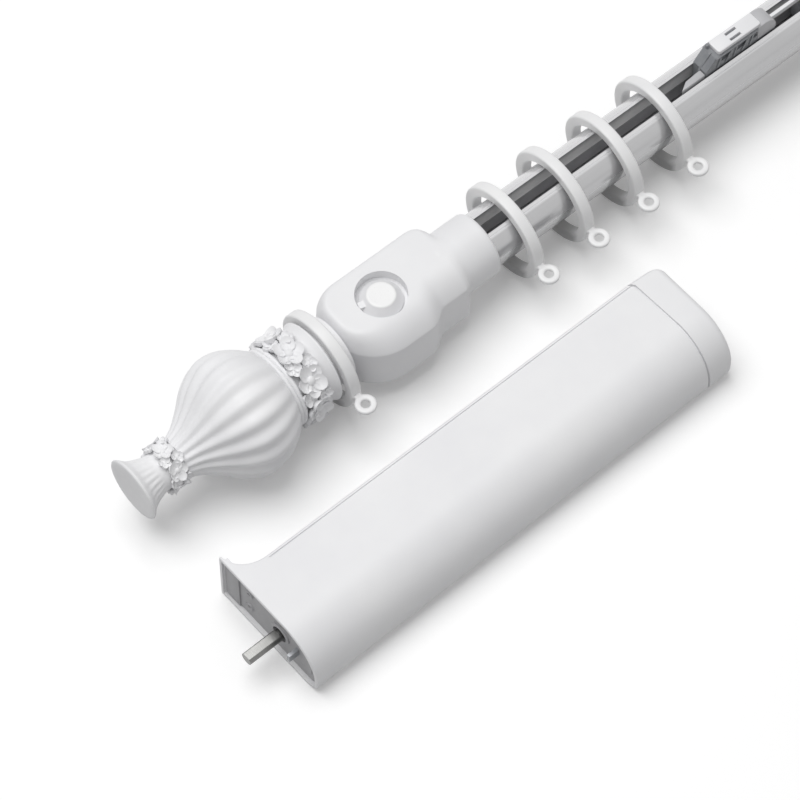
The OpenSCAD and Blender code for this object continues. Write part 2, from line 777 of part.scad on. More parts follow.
module motor_case() {
    color([0.92, 0.92, 0.93]) motor_place() difference() {
        union() {
            along_x(0, motor_len - motor_cap_len) motor_section(0, back_y);
            linear_extrude(motor_h) flange_plan();
        }
        along_x(-1, motor_len) motor_section(case_wall, back_y);
        slab(-1, face_x + face_t, 0, back_y + flange_reach - case_wall, case_wall, motor_h - case_wall);
    }
}

module motor_end_cap() {
    color([0.93, 0.93, 0.94]) motor_place() {
        along_x(motor_len - motor_cap_len, motor_len - 1.5) motor_section(0, back_y);
        along_x(motor_len - 1.5, motor_len - 0.5) motor_section(0.6, back_y);
        along_x(motor_len - 0.5, motor_len) motor_section(1.5, back_y);
        along_x(motor_len - motor_cap_len - 4, motor_len - motor_cap_len) motor_section(case_wall + 0.2, back_y);
    }
}

module motor_face_plate() {
    plate_in = case_wall + 0.15;
    color([0.56, 0.56, 0.57]) motor_place() difference() {
        union() {
            along_x(face_x, face_x + face_t) motor_section(plate_in, back_y);
            slab(face_x, face_x + face_t, 0, back_y + flange_reach - plate_in, plate_in, motor_h - plate_in);
        }
        translate([0, 0, shaft_z]) x_rod(face_x - 1, face_x + face_t + 1, shaft_r + 1);
        slab(face_x - 1, face_x + face_t + 1, tongue_y - tongue_w / 2 - seat, tongue_y + tongue_w / 2 + seat,
             shaft_z - tongue_h / 2 - seat, shaft_z + tongue_h / 2 + seat);
        translate([0, 21, shaft_z + 6]) x_rod(face_x - 1, face_x + face_t + 1, 1.6);
    }
}

// The flat tongue beside the shaft that keys the motor to the housing
module motor_latch() {
    color([0.75, 0.75, 0.76]) motor_place()
        slab(-3.5, gearbox_x0, tongue_y - tongue_w / 2, tongue_y + tongue_w / 2,
             shaft_z - tongue_h / 2, shaft_z + tongue_h / 2);
}

module motor_gearbox() {
    color([0.5, 0.5, 0.52]) motor_place() translate([0, 0, shaft_z]) difference() {
        x_rod(gearbox_x0, gearbox_x1, can_r + 1);
        x_rod(gearbox_x0 - 1, gearbox_x1 - 8, shaft_core_r + run);
    }
}

module motor_can() {
    color([0.66, 0.67, 0.69]) motor_place() translate([0, 0, shaft_z]) {
        x_rod(gearbox_x1, can_x1 - 6, can_r);
        x_rod(can_x1 - 6, can_x1, can_r - 5);
    }
}

module motor_board() {
    color([0.2, 0.42, 0.28]) motor_place()
        slab(can_x1, board_x1, front_y + low_round + 2, back_y - back_round - 2, shaft_z - 0.8, shaft_z + 0.8);
}

module motor_shaft() {
    color([0.78, 0.78, 0.77]) motor_place() translate([0, 0, shaft_z]) difference() {
        union() {
            x_rod(-shaft_reach, 0, shaft_r);
            x_rod(-tiny, gearbox_x1 - 9, shaft_core_r);
        }
        slab(-shaft_reach - 1, 0, -shaft_r, shaft_r, shaft_r - flat_depth, shaft_r + 1);
    }
}

rod();
belt();
drive_body();
drive_cover();
drive_bearing_lower();
drive_bearing_upper();
drive_screws();
drive_pulley();
drive_hub_cap();
idler_body();
idler_cover();
idler_axle();
idler_screws();
idler_pulley();
near_finial_foot();
near_finial_bulb();
near_finial_neck();
near_finial_stud();
near_small_garland();
near_large_garland();
far_finial_foot();
far_finial_bulb();
far_finial_neck();
far_finial_stud();
far_small_garland();
far_large_garland();
ring_band(0);  // ring_0
ring_eyelet(0);  // ring_0_eyelet
ring_band(1);  // ring_1
ring_eyelet(1);  // ring_1_eyelet
ring_band(2);  // ring_2
ring_eyelet(2);  // ring_2_eyelet
ring_band(3);  // ring_3
ring_eyelet(3);  // ring_3_eyelet
ring_band(4);  // ring_4
ring_eyelet(4);  // ring_4_eyelet
carrier_body();
carrier_plate();
carrier_arm();
belt_clamp();
carrier_link();
trailer_body();
front_wheels();
rear_wheels();
trailer_wheels();
motor_case();
motor_end_cap();
motor_face_plate();
motor_latch();
motor_gearbox();
motor_can();
motor_board();
motor_shaft();
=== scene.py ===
import math
import random
import bpy
import bmesh
from mathutils import Matrix, Vector


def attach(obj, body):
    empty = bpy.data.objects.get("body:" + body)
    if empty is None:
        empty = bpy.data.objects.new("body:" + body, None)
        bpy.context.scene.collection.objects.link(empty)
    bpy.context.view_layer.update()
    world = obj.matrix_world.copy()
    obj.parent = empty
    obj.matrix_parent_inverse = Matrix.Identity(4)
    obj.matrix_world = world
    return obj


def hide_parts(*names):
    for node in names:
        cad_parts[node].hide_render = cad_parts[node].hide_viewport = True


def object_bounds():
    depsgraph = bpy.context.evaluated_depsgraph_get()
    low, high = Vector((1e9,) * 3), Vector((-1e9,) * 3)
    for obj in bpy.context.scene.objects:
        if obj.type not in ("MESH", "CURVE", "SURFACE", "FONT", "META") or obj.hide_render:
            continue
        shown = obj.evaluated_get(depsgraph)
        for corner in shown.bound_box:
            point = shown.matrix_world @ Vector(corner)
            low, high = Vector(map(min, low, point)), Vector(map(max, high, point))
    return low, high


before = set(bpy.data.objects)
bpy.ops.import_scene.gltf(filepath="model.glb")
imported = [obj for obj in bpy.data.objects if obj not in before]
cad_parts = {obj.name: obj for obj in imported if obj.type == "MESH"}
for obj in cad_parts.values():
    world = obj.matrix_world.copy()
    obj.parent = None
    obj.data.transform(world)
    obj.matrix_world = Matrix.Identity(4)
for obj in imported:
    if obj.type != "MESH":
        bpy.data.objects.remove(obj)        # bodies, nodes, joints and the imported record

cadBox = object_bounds()
scene = bpy.context.scene
mm = 0.001
rodZ = 17.5          # height of the rod's axis, in mm
axisSpan = 800.0     # drive axis to idler axis, in mm
print("frame loaded:", len(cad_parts), "nodes")


# sRGB hex to the linear colour that the shaders use
def linearColour(hexCode):
    parts = [int(hexCode[i:i + 2], 16) / 255 for i in (1, 3, 5)]
    return [c / 12.92 if c <= 0.04045 else ((c + 0.055) / 1.055) ** 2.4 for c in parts] + [1.0]


# adds one node, sets its properties, and fills or links its inputs
def addNode(tree, kind, inputs=None, **settings):
    node = tree.nodes.new(kind)
    for name, value in settings.items():
        setattr(node, name, value)
    for socket, value in (inputs or {}).items():
        if isinstance(value, bpy.types.NodeSocket):
            tree.links.new(value, node.inputs[socket])
        else:
            node.inputs[socket].default_value = value
    return node


# nodes that come up again and again, each giving back its output
def noise(tree, place, scale, detail, roughness):
    return addNode(tree, "ShaderNodeTexNoise", {
        "Vector": place, "Scale": scale, "Detail": detail, "Roughness": roughness}).outputs["Fac"]


def mapped(tree, value, start, end, low=0.0, high=1.0):
    return addNode(tree, "ShaderNodeMapRange", {
        "Value": value, "From Min": start, "From Max": end,
        "To Min": low, "To Max": high}).outputs["Result"]


def mixed(tree, fac, first, second, how="MIX"):
    return addNode(tree, "ShaderNodeMixRGB", {"Fac": fac, "Color1": first, "Color2": second},
                   blend_type=how).outputs["Color"]


def computed(tree, operation, *values):
    return addNode(tree, "ShaderNodeMath", dict(enumerate(values)), operation=operation).outputs[0]


# the emptied node tree of a material or world
def emptyTree(owner):
    owner.use_nodes = True
    owner.node_tree.nodes.clear()
    return owner.node_tree


# a material with its Principled shader and a pattern space in metres on the object
def startMaterial(name):
    material = bpy.data.materials.new(name)
    tree = emptyTree(material)
    shader = addNode(tree, "ShaderNodeBsdfPrincipled")
    addNode(tree, "ShaderNodeOutputMaterial", {"Surface": shader.outputs[0]})
    place = addNode(tree, "ShaderNodeTexCoord").outputs["Object"]
    return material, tree, shader, place


# the ramp from a finish's shade to its colour
def toneRamp(tree, fac, s):
    ramp = addNode(tree, "ShaderNodeValToRGB", {"Fac": fac})
    stops = zip(ramp.color_ramp.elements, (0.3, 0.7), (s["shade"], s["colour"]))
    for element, position, colour in stops:
        element.position = position
        element.color = linearColour(colour)
    return ramp.outputs["Color"]


# links the colour, the uneven gloss and the fine relief of a finish to its shader
def dressShader(tree, shader, s, colour, gloss, relief, depth):
    spread = s["glossSpread"]
    gloss = mapped(tree, gloss, 0.3, 0.7, s["roughness"] - spread, s["roughness"] + spread)
    bump = addNode(tree, "ShaderNodeBump",
                   {"Strength": s["bump"], "Distance": depth * mm, "Height": relief})
    tree.links.new(colour, shader.inputs["Base Color"])
    tree.links.new(gloss, shader.inputs["Roughness"])
    tree.links.new(bump.outputs["Normal"], shader.inputs["Normal"])


# Moulded or cast plastic: a slow drift of tone, a fine mould grain and uneven gloss
def mouldedPlastic(name, s):
    material, tree, shader, place = startMaterial(name)
    drift = noise(tree, place, 1 / (s["driftSize"] * mm), 3.0, 0.55)
    grain = noise(tree, place, 1 / (s["grainSize"] * mm), 4.0, 0.6)
    colour = toneRamp(tree, drift, s)
    if "underZ" in s:
        # painted shade: the rings' low arc, which the rod keeps in its shadow, is darkened in the
        # colour
        axes = addNode(tree, "ShaderNodeSeparateXYZ", {"Vector": place}).outputs
        low = mapped(tree, axes["Z"], (s["underZ"] - s["underSoft"]) * mm, s["underZ"] * mm,
                     s["underTone"], 1.0)
        front = mapped(tree, axes["Y"], (s["underY"] - s["underSoft"]) * mm, s["underY"] * mm,
                       1.0, 0.0)
        colour = mixed(tree, 1.0, colour, computed(tree, "MAXIMUM", low, front), "MULTIPLY")
    dressShader(tree, shader, s, colour, grain, grain, s["grainDepth"])
    shader.inputs["IOR"].default_value = s.get("ior", 1.5)
    return material


# the rod's slot: its inside painted paler down to the web's foot and darker at the lips as painted
# light and shade, painted light on the front lip and the top, and painted shade along the underside
def dressSlot(tree, shader, place, s):
    axes = addNode(tree, "ShaderNodeSeparateXYZ", {"Vector": place}).outputs
    foot, top, low, soft = (s[key] * mm for key in ("slotFoot", "slotLip", "lowEdge", "lowSoft"))
    inside = computed(tree, "LESS_THAN", computed(tree, "ABSOLUTE", axes["Y"]), s["slotHalf"] * mm)
    # painted light and shade inside the slot: palest at the web's foot, darkest under the lips
    pale = mixed(tree, mapped(tree, axes["Z"], foot, top),
                 linearColour(s["slotColour"]), linearColour(s["slotShade"]))
    outer = shader.inputs["Base Color"].links[0].from_socket
    # painted shade: below lowEdge the rod's colour is darkened, where it would mirror the shadowed
    # floor
    shaded = mapped(tree, axes["Z"], low - soft, low + soft, s["lowTone"], 1.0)
    outer = mixed(tree, 1.0, outer, shaded, "MULTIPLY")
    # painted light: from its front lip back over the top, the rod's colour is made lighter
    lip = mapped(tree, axes["Y"], -(s["lipHalf"] + s["lipSoft"]) * mm,
                 -(s["lipHalf"] - s["lipSoft"]) * mm, 1.0, s["lipTone"])
    outer = mixed(tree, 1.0, outer, lip, "MULTIPLY")
    # the slot's foot is rolled over, so it faces up and catches more light than the lip
    roll = mapped(tree, axes["Z"], foot, top, s["slotRoll"], 0.0)
    up = addNode(tree, "ShaderNodeCombineXYZ", {"Z": computed(tree, "MULTIPLY", roll, inside)})
    normal = shader.inputs["Normal"].links[0].from_socket
    tilted = addNode(tree, "ShaderNodeVectorMath", {0: normal, 1: up.outputs[0]}, operation="ADD")
    unit = addNode(tree, "ShaderNodeVectorMath", {0: tilted.outputs[0]}, operation="NORMALIZE")
    metal = mapped(tree, inside, 0.0, 1.0, s["metallic"], s["slotMetallic"])
    tree.links.new(unit.outputs[0], shader.inputs["Normal"])
    tree.links.new(mixed(tree, inside, outer, pale), shader.inputs["Base Color"])
    tree.links.new(metal, shader.inputs["Metallic"])


# Metal with drawn or ground lines: stretched noise along one axis
def linedMetal(name, s):
    material, tree, shader, place = startMaterial(name)
    stretch = [1 / (size * mm) for size in s["lineSize"]]
    lines = addNode(tree, "ShaderNodeMapping", {"Vector": place, "Scale": stretch})
    grain = noise(tree, lines.outputs["Vector"], 1.0, 3.0, 0.6)
    cloud = noise(tree, place, 1 / (s["cloudSize"] * mm), 2.0, 0.5)
    dressShader(tree, shader, s, toneRamp(tree, grain, s), cloud, grain, 0.02)
    shader.inputs["Metallic"].default_value = s["metallic"]
    if "slotHalf" in s:
        dressSlot(tree, shader, place, s)
    return material


# Finishes as rows, under what each value is; sizes and depths are in mm
plasticNames = ("colour", "shade", "driftSize", "grainSize", "grainDepth", "bump", "roughness",
                "glossSpread")
plasticFit = {
    # injection-moulded ABS: clean white with the faint satin of a spark-eroded mould
    "whiteAbsMoulded": ("#efeff0", "#e9e9eb", 38, 0.9, 0.012, 0.25, 0.46, 0.06),
    # cast polyester resin under matt paint: softer gloss, faint orange peel
    "whiteResinPainted": ("#f3f3f4", "#ebebed", 24, 2.2, 0.03, 0.3, 0.52, 0.07),
    # moulded nylon of the rings: a shade brighter, with soft highlights
    "whiteNylonMoulded": ("#f1f1f1", "#ebebec", 16, 1.1, 0.012, 0.22, 0.38, 0.06),
    # polished ABS of the hub button's top, painted whiter as painted light: the drive end's whitest
    # spot
    "whiteAbsPolished": ("#f7f7f7", "#f3f3f3", 12, 1.0, 0.006, 0.15, 0.3, 0.04),
    # neoprene belt: dark grey and dull, a little dusty
    "neopreneMoulded": ("#a8a8ab", "#9c9c9f", 9, 0.7, 0.03, 0.5, 0.68, 0.08),
    # grey acetal of the carrier's trucks: waxy
    "greyAcetalMoulded": ("#8f9194", "#808286", 5, 0.8, 0.012, 0.25, 0.4, 0.06),
    # natural nylon of the carrier's arm and nose: pale grey and a little milky
    "paleNylonMoulded": ("#c2c2c4", "#b6b6b9", 7, 0.8, 0.012, 0.22, 0.4, 0.06),
    # dark nylon of the running wheels
    "darkNylonMoulded": ("#474749", "#3b3b3d", 5, 0.7, 0.012, 0.25, 0.45, 0.06),
    # grey ABS of the motor's end plate, with a fine matt grain
    "greyAbsMoulded": ("#b4b4b6", "#a9a9ab", 14, 0.8, 0.02, 0.35, 0.55, 0.07),
    # solder-masked board
    "greenSolderMask": ("#356b47", "#2c5c3c", 12, 0.6, 0.008, 0.15, 0.32, 0.05)}
metalNames = ("colour", "shade", "lineSize", "cloudSize", "metallic", "bump", "roughness",
              "glossSpread")
metalFit = {
    # extruded and clear-anodised aluminium: fine die lines along the rod
    "satinAnodisedAluminium": ("#bfbfc0", "#bbbbbc", (60, 0.5, 0.5), 30, 0.72, 0.08, 0.2, 0.03),
    # ground steel of shaft, studs and screws
    "groundSteel": ("#80807e", "#747473", (0.5, 6, 6), 8, 1.0, 0.2, 0.3, 0.05),
    # sintered bronze bushes: dull and slightly speckled
    "bronzeSintered": ("#a98a5c", "#8d7148", (0.6, 0.6, 0.6), 4, 1.0, 0.4, 0.46, 0.06),
    # zinc-plated steel of can, gearbox and latch: pale, softly mottled
    "zincPlatedSteel": ("#aeb0b3", "#95979b", (3, 3, 3), 6, 1.0, 0.2, 0.34, 0.07)}
finishExtras = {
    # the rings' nylon: their low arc, in the rod's shadow, is darkened as painted shade
    "whiteNylonMoulded": {"underZ": 5.0, "underY": -13.0, "underSoft": 7.0, "underTone": 0.52},
    # the rod: painted shade along its underside, painted light from the front lip back, and the
    # slot's inside painted paler and less metallic as painted light and shade
    "satinAnodisedAluminium": {
        "lowEdge": 5.7, "lowSoft": 0.25, "lowTone": 0.78, "lipHalf": 7.5, "lipSoft": 0.3,
        "lipTone": 1.35, "slotHalf": 5.1, "slotFoot": 20.7, "slotLip": 30.2,
        "slotColour": "#fbfbfb", "slotShade": "#9a9a9c", "slotRoll": 1.4, "slotMetallic": 0.1},
    "neopreneMoulded": {"ior": 1.52}, "greyAcetalMoulded": {"ior": 1.48}}
finishes = {}
for make, names, rows in ((mouldedPlastic, plasticNames, plasticFit),
                          (linedMetal, metalNames, metalFit)):
    for name, values in rows.items():
        finishes[name] = make(name, {**dict(zip(names, values)), **finishExtras.get(name, {})})
print("materials made:", len(finishes))


# the sharp-edge group, used by CAD nodes and by the modelled pieces: it merges loose triangles
# and smooths every edge flatter than the given angle
def smoothGroup(angle):
    group = bpy.data.node_groups.new("softEdges%d" % angle, "GeometryNodeTree")
    for way in ("INPUT", "OUTPUT"):
        group.interface.new_socket("Geometry", in_out=way, socket_type="NodeSocketGeometry")
    start = addNode(group, "NodeGroupInput")
    merged = addNode(group, "GeometryNodeMergeByDistance",
                     {"Geometry": start.outputs[0], "Distance": 0.001 * mm})
    smooth = addNode(group, "GeometryNodeSetShadeSmooth",
                     {"Geometry": merged.outputs[0], "Shade Smooth": True}, domain="FACE")
    fold = addNode(group, "GeometryNodeInputMeshEdgeAngle")
    sharp = addNode(group, "FunctionNodeCompare",
                    {0: fold.outputs["Unsigned Angle"], 1: math.radians(angle)},
                    data_type="FLOAT", operation="GREATER_THAN")
    edges = addNode(group, "GeometryNodeSetShadeSmooth",
                    {"Geometry": smooth.outputs[0], "Selection": sharp.outputs[0],
                     "Shade Smooth": False}, domain="EDGE")
    addNode(group, "NodeGroupOutput", {0: edges.outputs[0]})
    return group


softEdges = smoothGroup(28)
softForms = smoothGroup(48)


def placed(name, data):
    thing = bpy.data.objects.new(name, data)
    scene.collection.objects.link(thing)
    return thing


# hands a bmesh over to a new object in the scene
def meshObject(name, bm):
    mesh = bpy.data.meshes.new(name)
    bm.to_mesh(mesh)
    bm.free()
    return placed(name, mesh)


# hands a finished bmesh over as one named piece that rides on a body in place of CAD nodes
def makePiece(name, bm, finish, body, nodes, group=None):
    bmesh.ops.remove_doubles(bm, verts=bm.verts, dist=0.002 * mm)
    bmesh.ops.recalc_face_normals(bm, faces=bm.faces)
    piece = meshObject(name, bm)
    piece.data.materials.append(finishes[finish])
    piece.modifiers.new("softEdges", "NODES").node_group = group or softEdges
    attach(piece, body)
    if nodes:
        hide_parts(*nodes)
    return piece


# a smooth line through the given points, with equal steps between each two
def smoothLine(points, steps):
    line = []
    for i in range(len(points) - 1):
        near = (points[min(max(k, 0), len(points) - 1)] for k in (i - 1, i, i + 1, i + 2))
        a, b, c, d = (Vector(point) for point in near)
        for s in range(steps):
            t = s / steps
            line.append((2 * b + (c - a) * t + (2 * a - 5 * b + 4 * c - d) * t ** 2
                         + (3 * b - a - 3 * c + d) * t ** 3) / 2)
    return line + [Vector(points[-1])]


# a full turn of a line of vertices; a closed line joins its last point to its first
def revolve(bm, verts, centre, axis, steps, closed=False):
    pairs = list(zip(verts, verts[1:])) + ([(verts[-1], verts[0])] if closed else [])
    edges = [bm.edges.new(pair) for pair in pairs]
    bmesh.ops.spin(bm, geom=verts + edges, cent=centre, axis=axis, dvec=(0, 0, 0),
                   angle=math.tau, steps=steps, use_merge=True)


# an open or closed line of (along, out) points in mm, turned round an X axis
def turnOnRod(bm, profile, steps, closed=False, axisZ=rodZ):
    z = axisZ * mm
    verts = [bm.verts.new((u * mm, 0, z + r * mm)) for u, r in profile]
    revolve(bm, verts, (0, 0, z), (1, 0, 0), steps, closed)


# skins a row of loops with equally many points, and closes its ends when asked to
def bridge(bm, loops, closed=False):
    for low, high in zip(loops, loops[1:]):
        for k in range(len(low)):
            bm.faces.new((low[k - 1], low[k], high[k], high[k - 1]))
    if closed:
        bm.faces.new(reversed(loops[0]))
        bm.faces.new(loops[-1])


# the corner points of a rounded rectangle, centred on (x, y)
def roundedRect(x, y, w, h, r, steps=5):
    points = []
    for quarter, (sx, sy) in enumerate(((1, 1), (-1, 1), (-1, -1), (1, -1))):
        for k in range(steps + 1):
            t = math.radians(90 * (quarter + k / steps))
            points.append((x + sx * (w / 2 - r) + r * math.cos(t),
                           y + sy * (h / 2 - r) + r * math.sin(t)))
    return points


# a new form with one shape drawn in it
def drawn(draw, *sizes, **more):
    bm = bmesh.new()
    draw(bm, *sizes, **more)
    return bm


# a copy of a bmesh with every point moved by a function
def copied(bm, move):
    twin = bm.copy()
    for v in twin.verts:
        v.co = move(v.co)
    return twin


def mirrored(co):
    return Vector((axisSpan * mm - co.x, co.y, co.z))


def bevelled(bm, soft):
    bmesh.ops.bevel(bm, geom=bm.edges[:], offset=soft, segments=2, profile=0.5,
                    affect="EDGES", material=-1)


# adds one form to another and frees it
def joinForm(bm, part):
    mesh = bpy.data.meshes.new("part")
    part.to_mesh(mesh)
    part.free()
    bm.from_mesh(mesh)
    bpy.data.meshes.remove(mesh)


def removeThing(thing):
    mesh = thing.data
    bpy.data.objects.remove(thing)
    bpy.data.meshes.remove(mesh)


# an object with its modifiers, taken back into a bmesh
def evaluated(thing):
    bpy.context.view_layer.update()
    final = thing.evaluated_get(bpy.context.evaluated_depsgraph_get())
    mesh = bpy.data.meshes.new_from_object(final)
    bm = bmesh.new()
    bm.from_mesh(mesh)
    bpy.data.meshes.remove(mesh)
    return bm


def soften(bm, verts, times):
    for _ in range(times):
        bmesh.ops.smooth_vert(bm, verts=verts, factor=0.5,
                              use_axis_x=True, use_axis_y=True, use_axis_z=True)


# joins overlapping closed shells into one skin of small, even faces and softens it
def remeshed(bm, size, softening):
    bmesh.ops.recalc_face_normals(bm, faces=bm.faces)
    rough = meshObject("rough", bm)
    skin = rough.modifiers.new("skin", "REMESH")
    skin.mode = "VOXEL"
    skin.voxel_size = size * mm
    done = evaluated(rough)
    removeThing(rough)
    soften(done, done.verts, softening)
    return done


# cuts closed forms out of a skin, one after the other
def cutOut(bm, cutters):
    whole = meshObject("uncut", bm)
    tools = []
    for form in cutters:
        bmesh.ops.recalc_face_normals(form, faces=form.faces)
        tools.append(meshObject("cutter", form))
        cut = whole.modifiers.new("cut", "BOOLEAN")
        cut.operation = "DIFFERENCE"
        cut.solver = "EXACT"
        cut.object = tools[-1]
    done = evaluated(whole)
    for thing in tools + [whole]:
        removeThing(thing)
    return done


# Finials: flared foot, fluted bulb, beaded neck and two flower garlands, cast as one white form
finialFit = {
    "tip": -142, "bulbRadius": 30.25, "flutes": 18, "perFlute": 12, "fluteDepth": 1.9,
    "fluteLeast": 0.25, "bulbStart": 24.5, "bulbEnd": 79.5, "spin": 216, "neckSpin": 144,
    "outline": ((24.5, 0.33), (31, 0.425), (38, 0.6), (46, 0.828), (54, 0.972),
                (60, 1), (66, 0.967), (71, 0.895), (76, 0.785), (79.5, 0.68)),
    "rim": ((0.3, 0), (0.15, 8), (0, 12.6), (0.05, 14.4), (0.3, 15.2), (0.6, 15.5)),
    "foot": ((0.9, 15.6), (2, 14.9), (4, 12.9), (7, 11.2), (10, 10.1),
             (12.5, 9.4), (16, 9.2), (24.5, 9.2)),
    "footFlute": 0.35, "footFlutes": 24, "footFluted": (1.5, 12.5),
    "bandRadius": 17.7, "bandStart": 83.5, "bandStep": (0.5, 0.6),
    "bead": 1.1, "beadHeight": 1.5, "beadPitch": 1.9, "beadLead": 0.1, "beadTurn": 0.1,
    "beadSteps": 9, "beadFoot": 0.3,
    "flare": ((94.5, 17.7), (97, 18.15), (99.5, 19.05), (101.5, 20.15), (102.2, 20.5),
              (102.8, 20.3), (103, 19.8)),
    "spigotEnd": 114, "spigotRadius": 16, "spigotIn": 0.1, "studHole": 5.02, "studDepth": 13.5}


# pushes a turned form inwards between its ridges, one of which lies straight below the axis
def pressFlutes(bm, count, depthAt):
    for v in bm.verts:
        y, z = v.co.y, v.co.z - rodZ * mm
        radius = math.hypot(y, z)
        if radius > 0.1 * mm:
            wave = (1 - math.cos(count * (math.atan2(z, y) + math.pi / 2))) / 2
            shrink = 1 - depthAt(v.co.x / mm - finialFit["tip"]) * wave * mm / radius
            v.co.y, v.co.z = y * shrink, z * shrink + rodZ * mm


def finialFoot():
    f = finialFit
    start, end = f["footFluted"]
    line = list(f["rim"]) + [tuple(p) for p in smoothLine(f["foot"], 5)] + [(f["bulbStart"], 0)]
    bm = drawn(turnOnRod, [(f["tip"] + u, r) for u, r in line], f["spin"])
    pressFlutes(bm, f["footFlutes"], lambda u: f["footFlute"] * math.sin(
        math.pi * (u - start) / (end - start)) if start < u < end else 0)
    return bm


def finialBulb():
    f = finialFit
    line = [(f["tip"] + p.x, p.y * f["bulbRadius"]) for p in smoothLine(f["outline"], 7)]
    line = [(line[0][0], 0)] + line + [(line[-1][0], 0)]
    bm = drawn(turnOnRod, line, f["flutes"] * f["perFlute"])
    start, span, least = f["bulbStart"], f["bulbEnd"] - f["bulbStart"], f["fluteLeast"]
    pressFlutes(bm, f["flutes"], lambda u: f["fluteDepth"] * (
        least + (1 - least) * math.sin(math.pi * min(max((u - start) / span, 0), 1))))
    return bm


# band with two beads, a collar that flares towards the end ring, and the spigot in the housing
def finialNeck():
    f = finialFit
    b, r, top = f["bead"], f["bandRadius"], f["bandRadius"] + f["beadHeight"]
    steps = f["beadSteps"]
    line = [(f["bulbEnd"], 0), (f["bulbEnd"], top - f["beadFoot"])]
    for i in range(2):
        centre = f["bulbEnd"] + b + f["beadLead"] + i * f["beadPitch"] * b
        line += [(centre - b * math.cos(t), top + b * math.sin(t))
                 for t in (k * math.pi / steps - f["beadTurn"] for k in range(steps + 1))]
    line += [(f["bandStart"], r + f["bandStep"][1]), (f["bandStart"] + f["bandStep"][0], r)]
    line += [tuple(p) for p in smoothLine(f["flare"], 4)]
    seat, floor = f["spigotEnd"] + f["spigotIn"], f["spigotEnd"] - f["studDepth"]
    line += [(f["flare"][-1][0], f["spigotRadius"]), (seat, f["spigotRadius"]),
             (seat, f["studHole"]), (floor, f["studHole"]), (floor, 0)]
    return drawn(turnOnRod, [(f["tip"] + u, y) for u, y in line], f["neckSpin"])


# Flowers: shares of a flower's size and rise, and how the small ones differ from the large
flowerFit = {
    "petals": 5, "petalSize": 0.24, "cup": 0.26, "thick": 0.34, "egg": 0.10,
    "around": 12, "rings": (0.45, 0.8, 1), "cupPower": 2.2, "rimPower": 6,
    "reach": 0.28, "lift": 0.42, "liftStep": 0.1, "tilt": -20, "tiltStep": -8,
    "middle": 0.15, "middleUp": 0.36, "middleFlat": 0.62,
    "sway": 0.3, "smallTurn": 0.05, "smallRise": 0.8, "smallLow": 0.1, "wrapOut": 1}


# one cupped petal: a thin lens with a raised rim, its root at the flower's middle
def petal(size, cup, thick):
    bm = bmesh.new()
    w = flowerFit
    around = w["around"]
    for side in (1, -1):
        pole = bm.verts.new((0, 0, 0 if side > 0 else -thick))
        last = None
        for rho in w["rings"]:
            ring = []
            under = -thick * (1 - rho ** w["rimPower"]) if side < 0 else 0
            for k in range(around):
                t = math.tau * k / around
                ring.append(bm.verts.new((
                    rho * size * (1 + w["egg"] * math.cos(t)) * math.cos(t),
                    rho * size * math.sin(t), cup * rho ** w["cupPower"] + under)))
            for k in range(around):
                n = (k + 1) % around
                bm.faces.new((last[k], ring[k], ring[n], last[n]) if last
                             else (pole, ring[k], ring[n]))
            last = ring
    bmesh.ops.remove_doubles(bm, verts=bm.verts, dist=0.01)
    return bm


# thick petals that stand up round a domed middle, every other one higher, in mm and lying flat
def flower(size, rise):
    bm = bmesh.new()
    w = flowerFit
    for k in range(w["petals"]):
        part = petal(size * w["petalSize"], rise * w["cup"], rise * w["thick"])
        odd = k % 2
        out = Matrix.Translation((size * w["reach"], 0, rise * (w["lift"] + w["liftStep"] * odd)))
        turn = (Matrix.Rotation(math.tau * k / w["petals"], 4, "Z") @ out
                @ Matrix.Rotation(math.radians(w["tilt"] + w["tiltStep"] * odd), 4, "Y"))
        bmesh.ops.transform(part, matrix=turn, verts=part.verts)
        joinForm(bm, part)
    middle = (Matrix.Translation((0, 0, rise * w["middleUp"]))
              @ Matrix.Diagonal((1, 1, w["middleFlat"], 1)))
    bmesh.ops.create_uvsphere(bm, u_segments=14, v_segments=8, radius=size * w["middle"],
                              matrix=middle)
    return bm


# flowers wrapped round the rod's axis: large ones on a ring, small ones in the gaps beside them
def garland(g):
    dice = random.Random(g["seed"])
    bm = bmesh.new()
    w = flowerFit
    spots = []
    for i in range(g["count"]):
        a = math.tau * i / g["count"] + math.radians(g["phase"])
        spots.append((g["along"] + dice.uniform(-w["sway"], w["sway"]), a, g["size"], g["rise"],
                      g["low"]))
        for side in (-1, 1):
            spots.append((g["along"] + side * g["sideStep"],
                          a + math.pi / g["count"] + side * w["smallTurn"], g["smallSize"],
                          g["rise"] * w["smallRise"], g["low"] + w["smallLow"]))
    for along, a, size, rise, low in spots:
        part = flower(size, rise)
        bmesh.ops.rotate(part, cent=(0, 0, 0), verts=part.verts,
                         matrix=Matrix.Rotation(dice.uniform(0, math.tau), 3, "Z"))
        for v in part.verts:
            angle = a + v.co.y / (g["radius"] + w["wrapOut"])
            radius = g["radius"] + low + v.co.z
            v.co = Vector(((finialFit["tip"] + along + v.co.x) * mm, -radius * math.sin(angle) * mm,
                           (rodZ + radius * math.cos(angle)) * mm))
        joinForm(bm, part)
    return bm


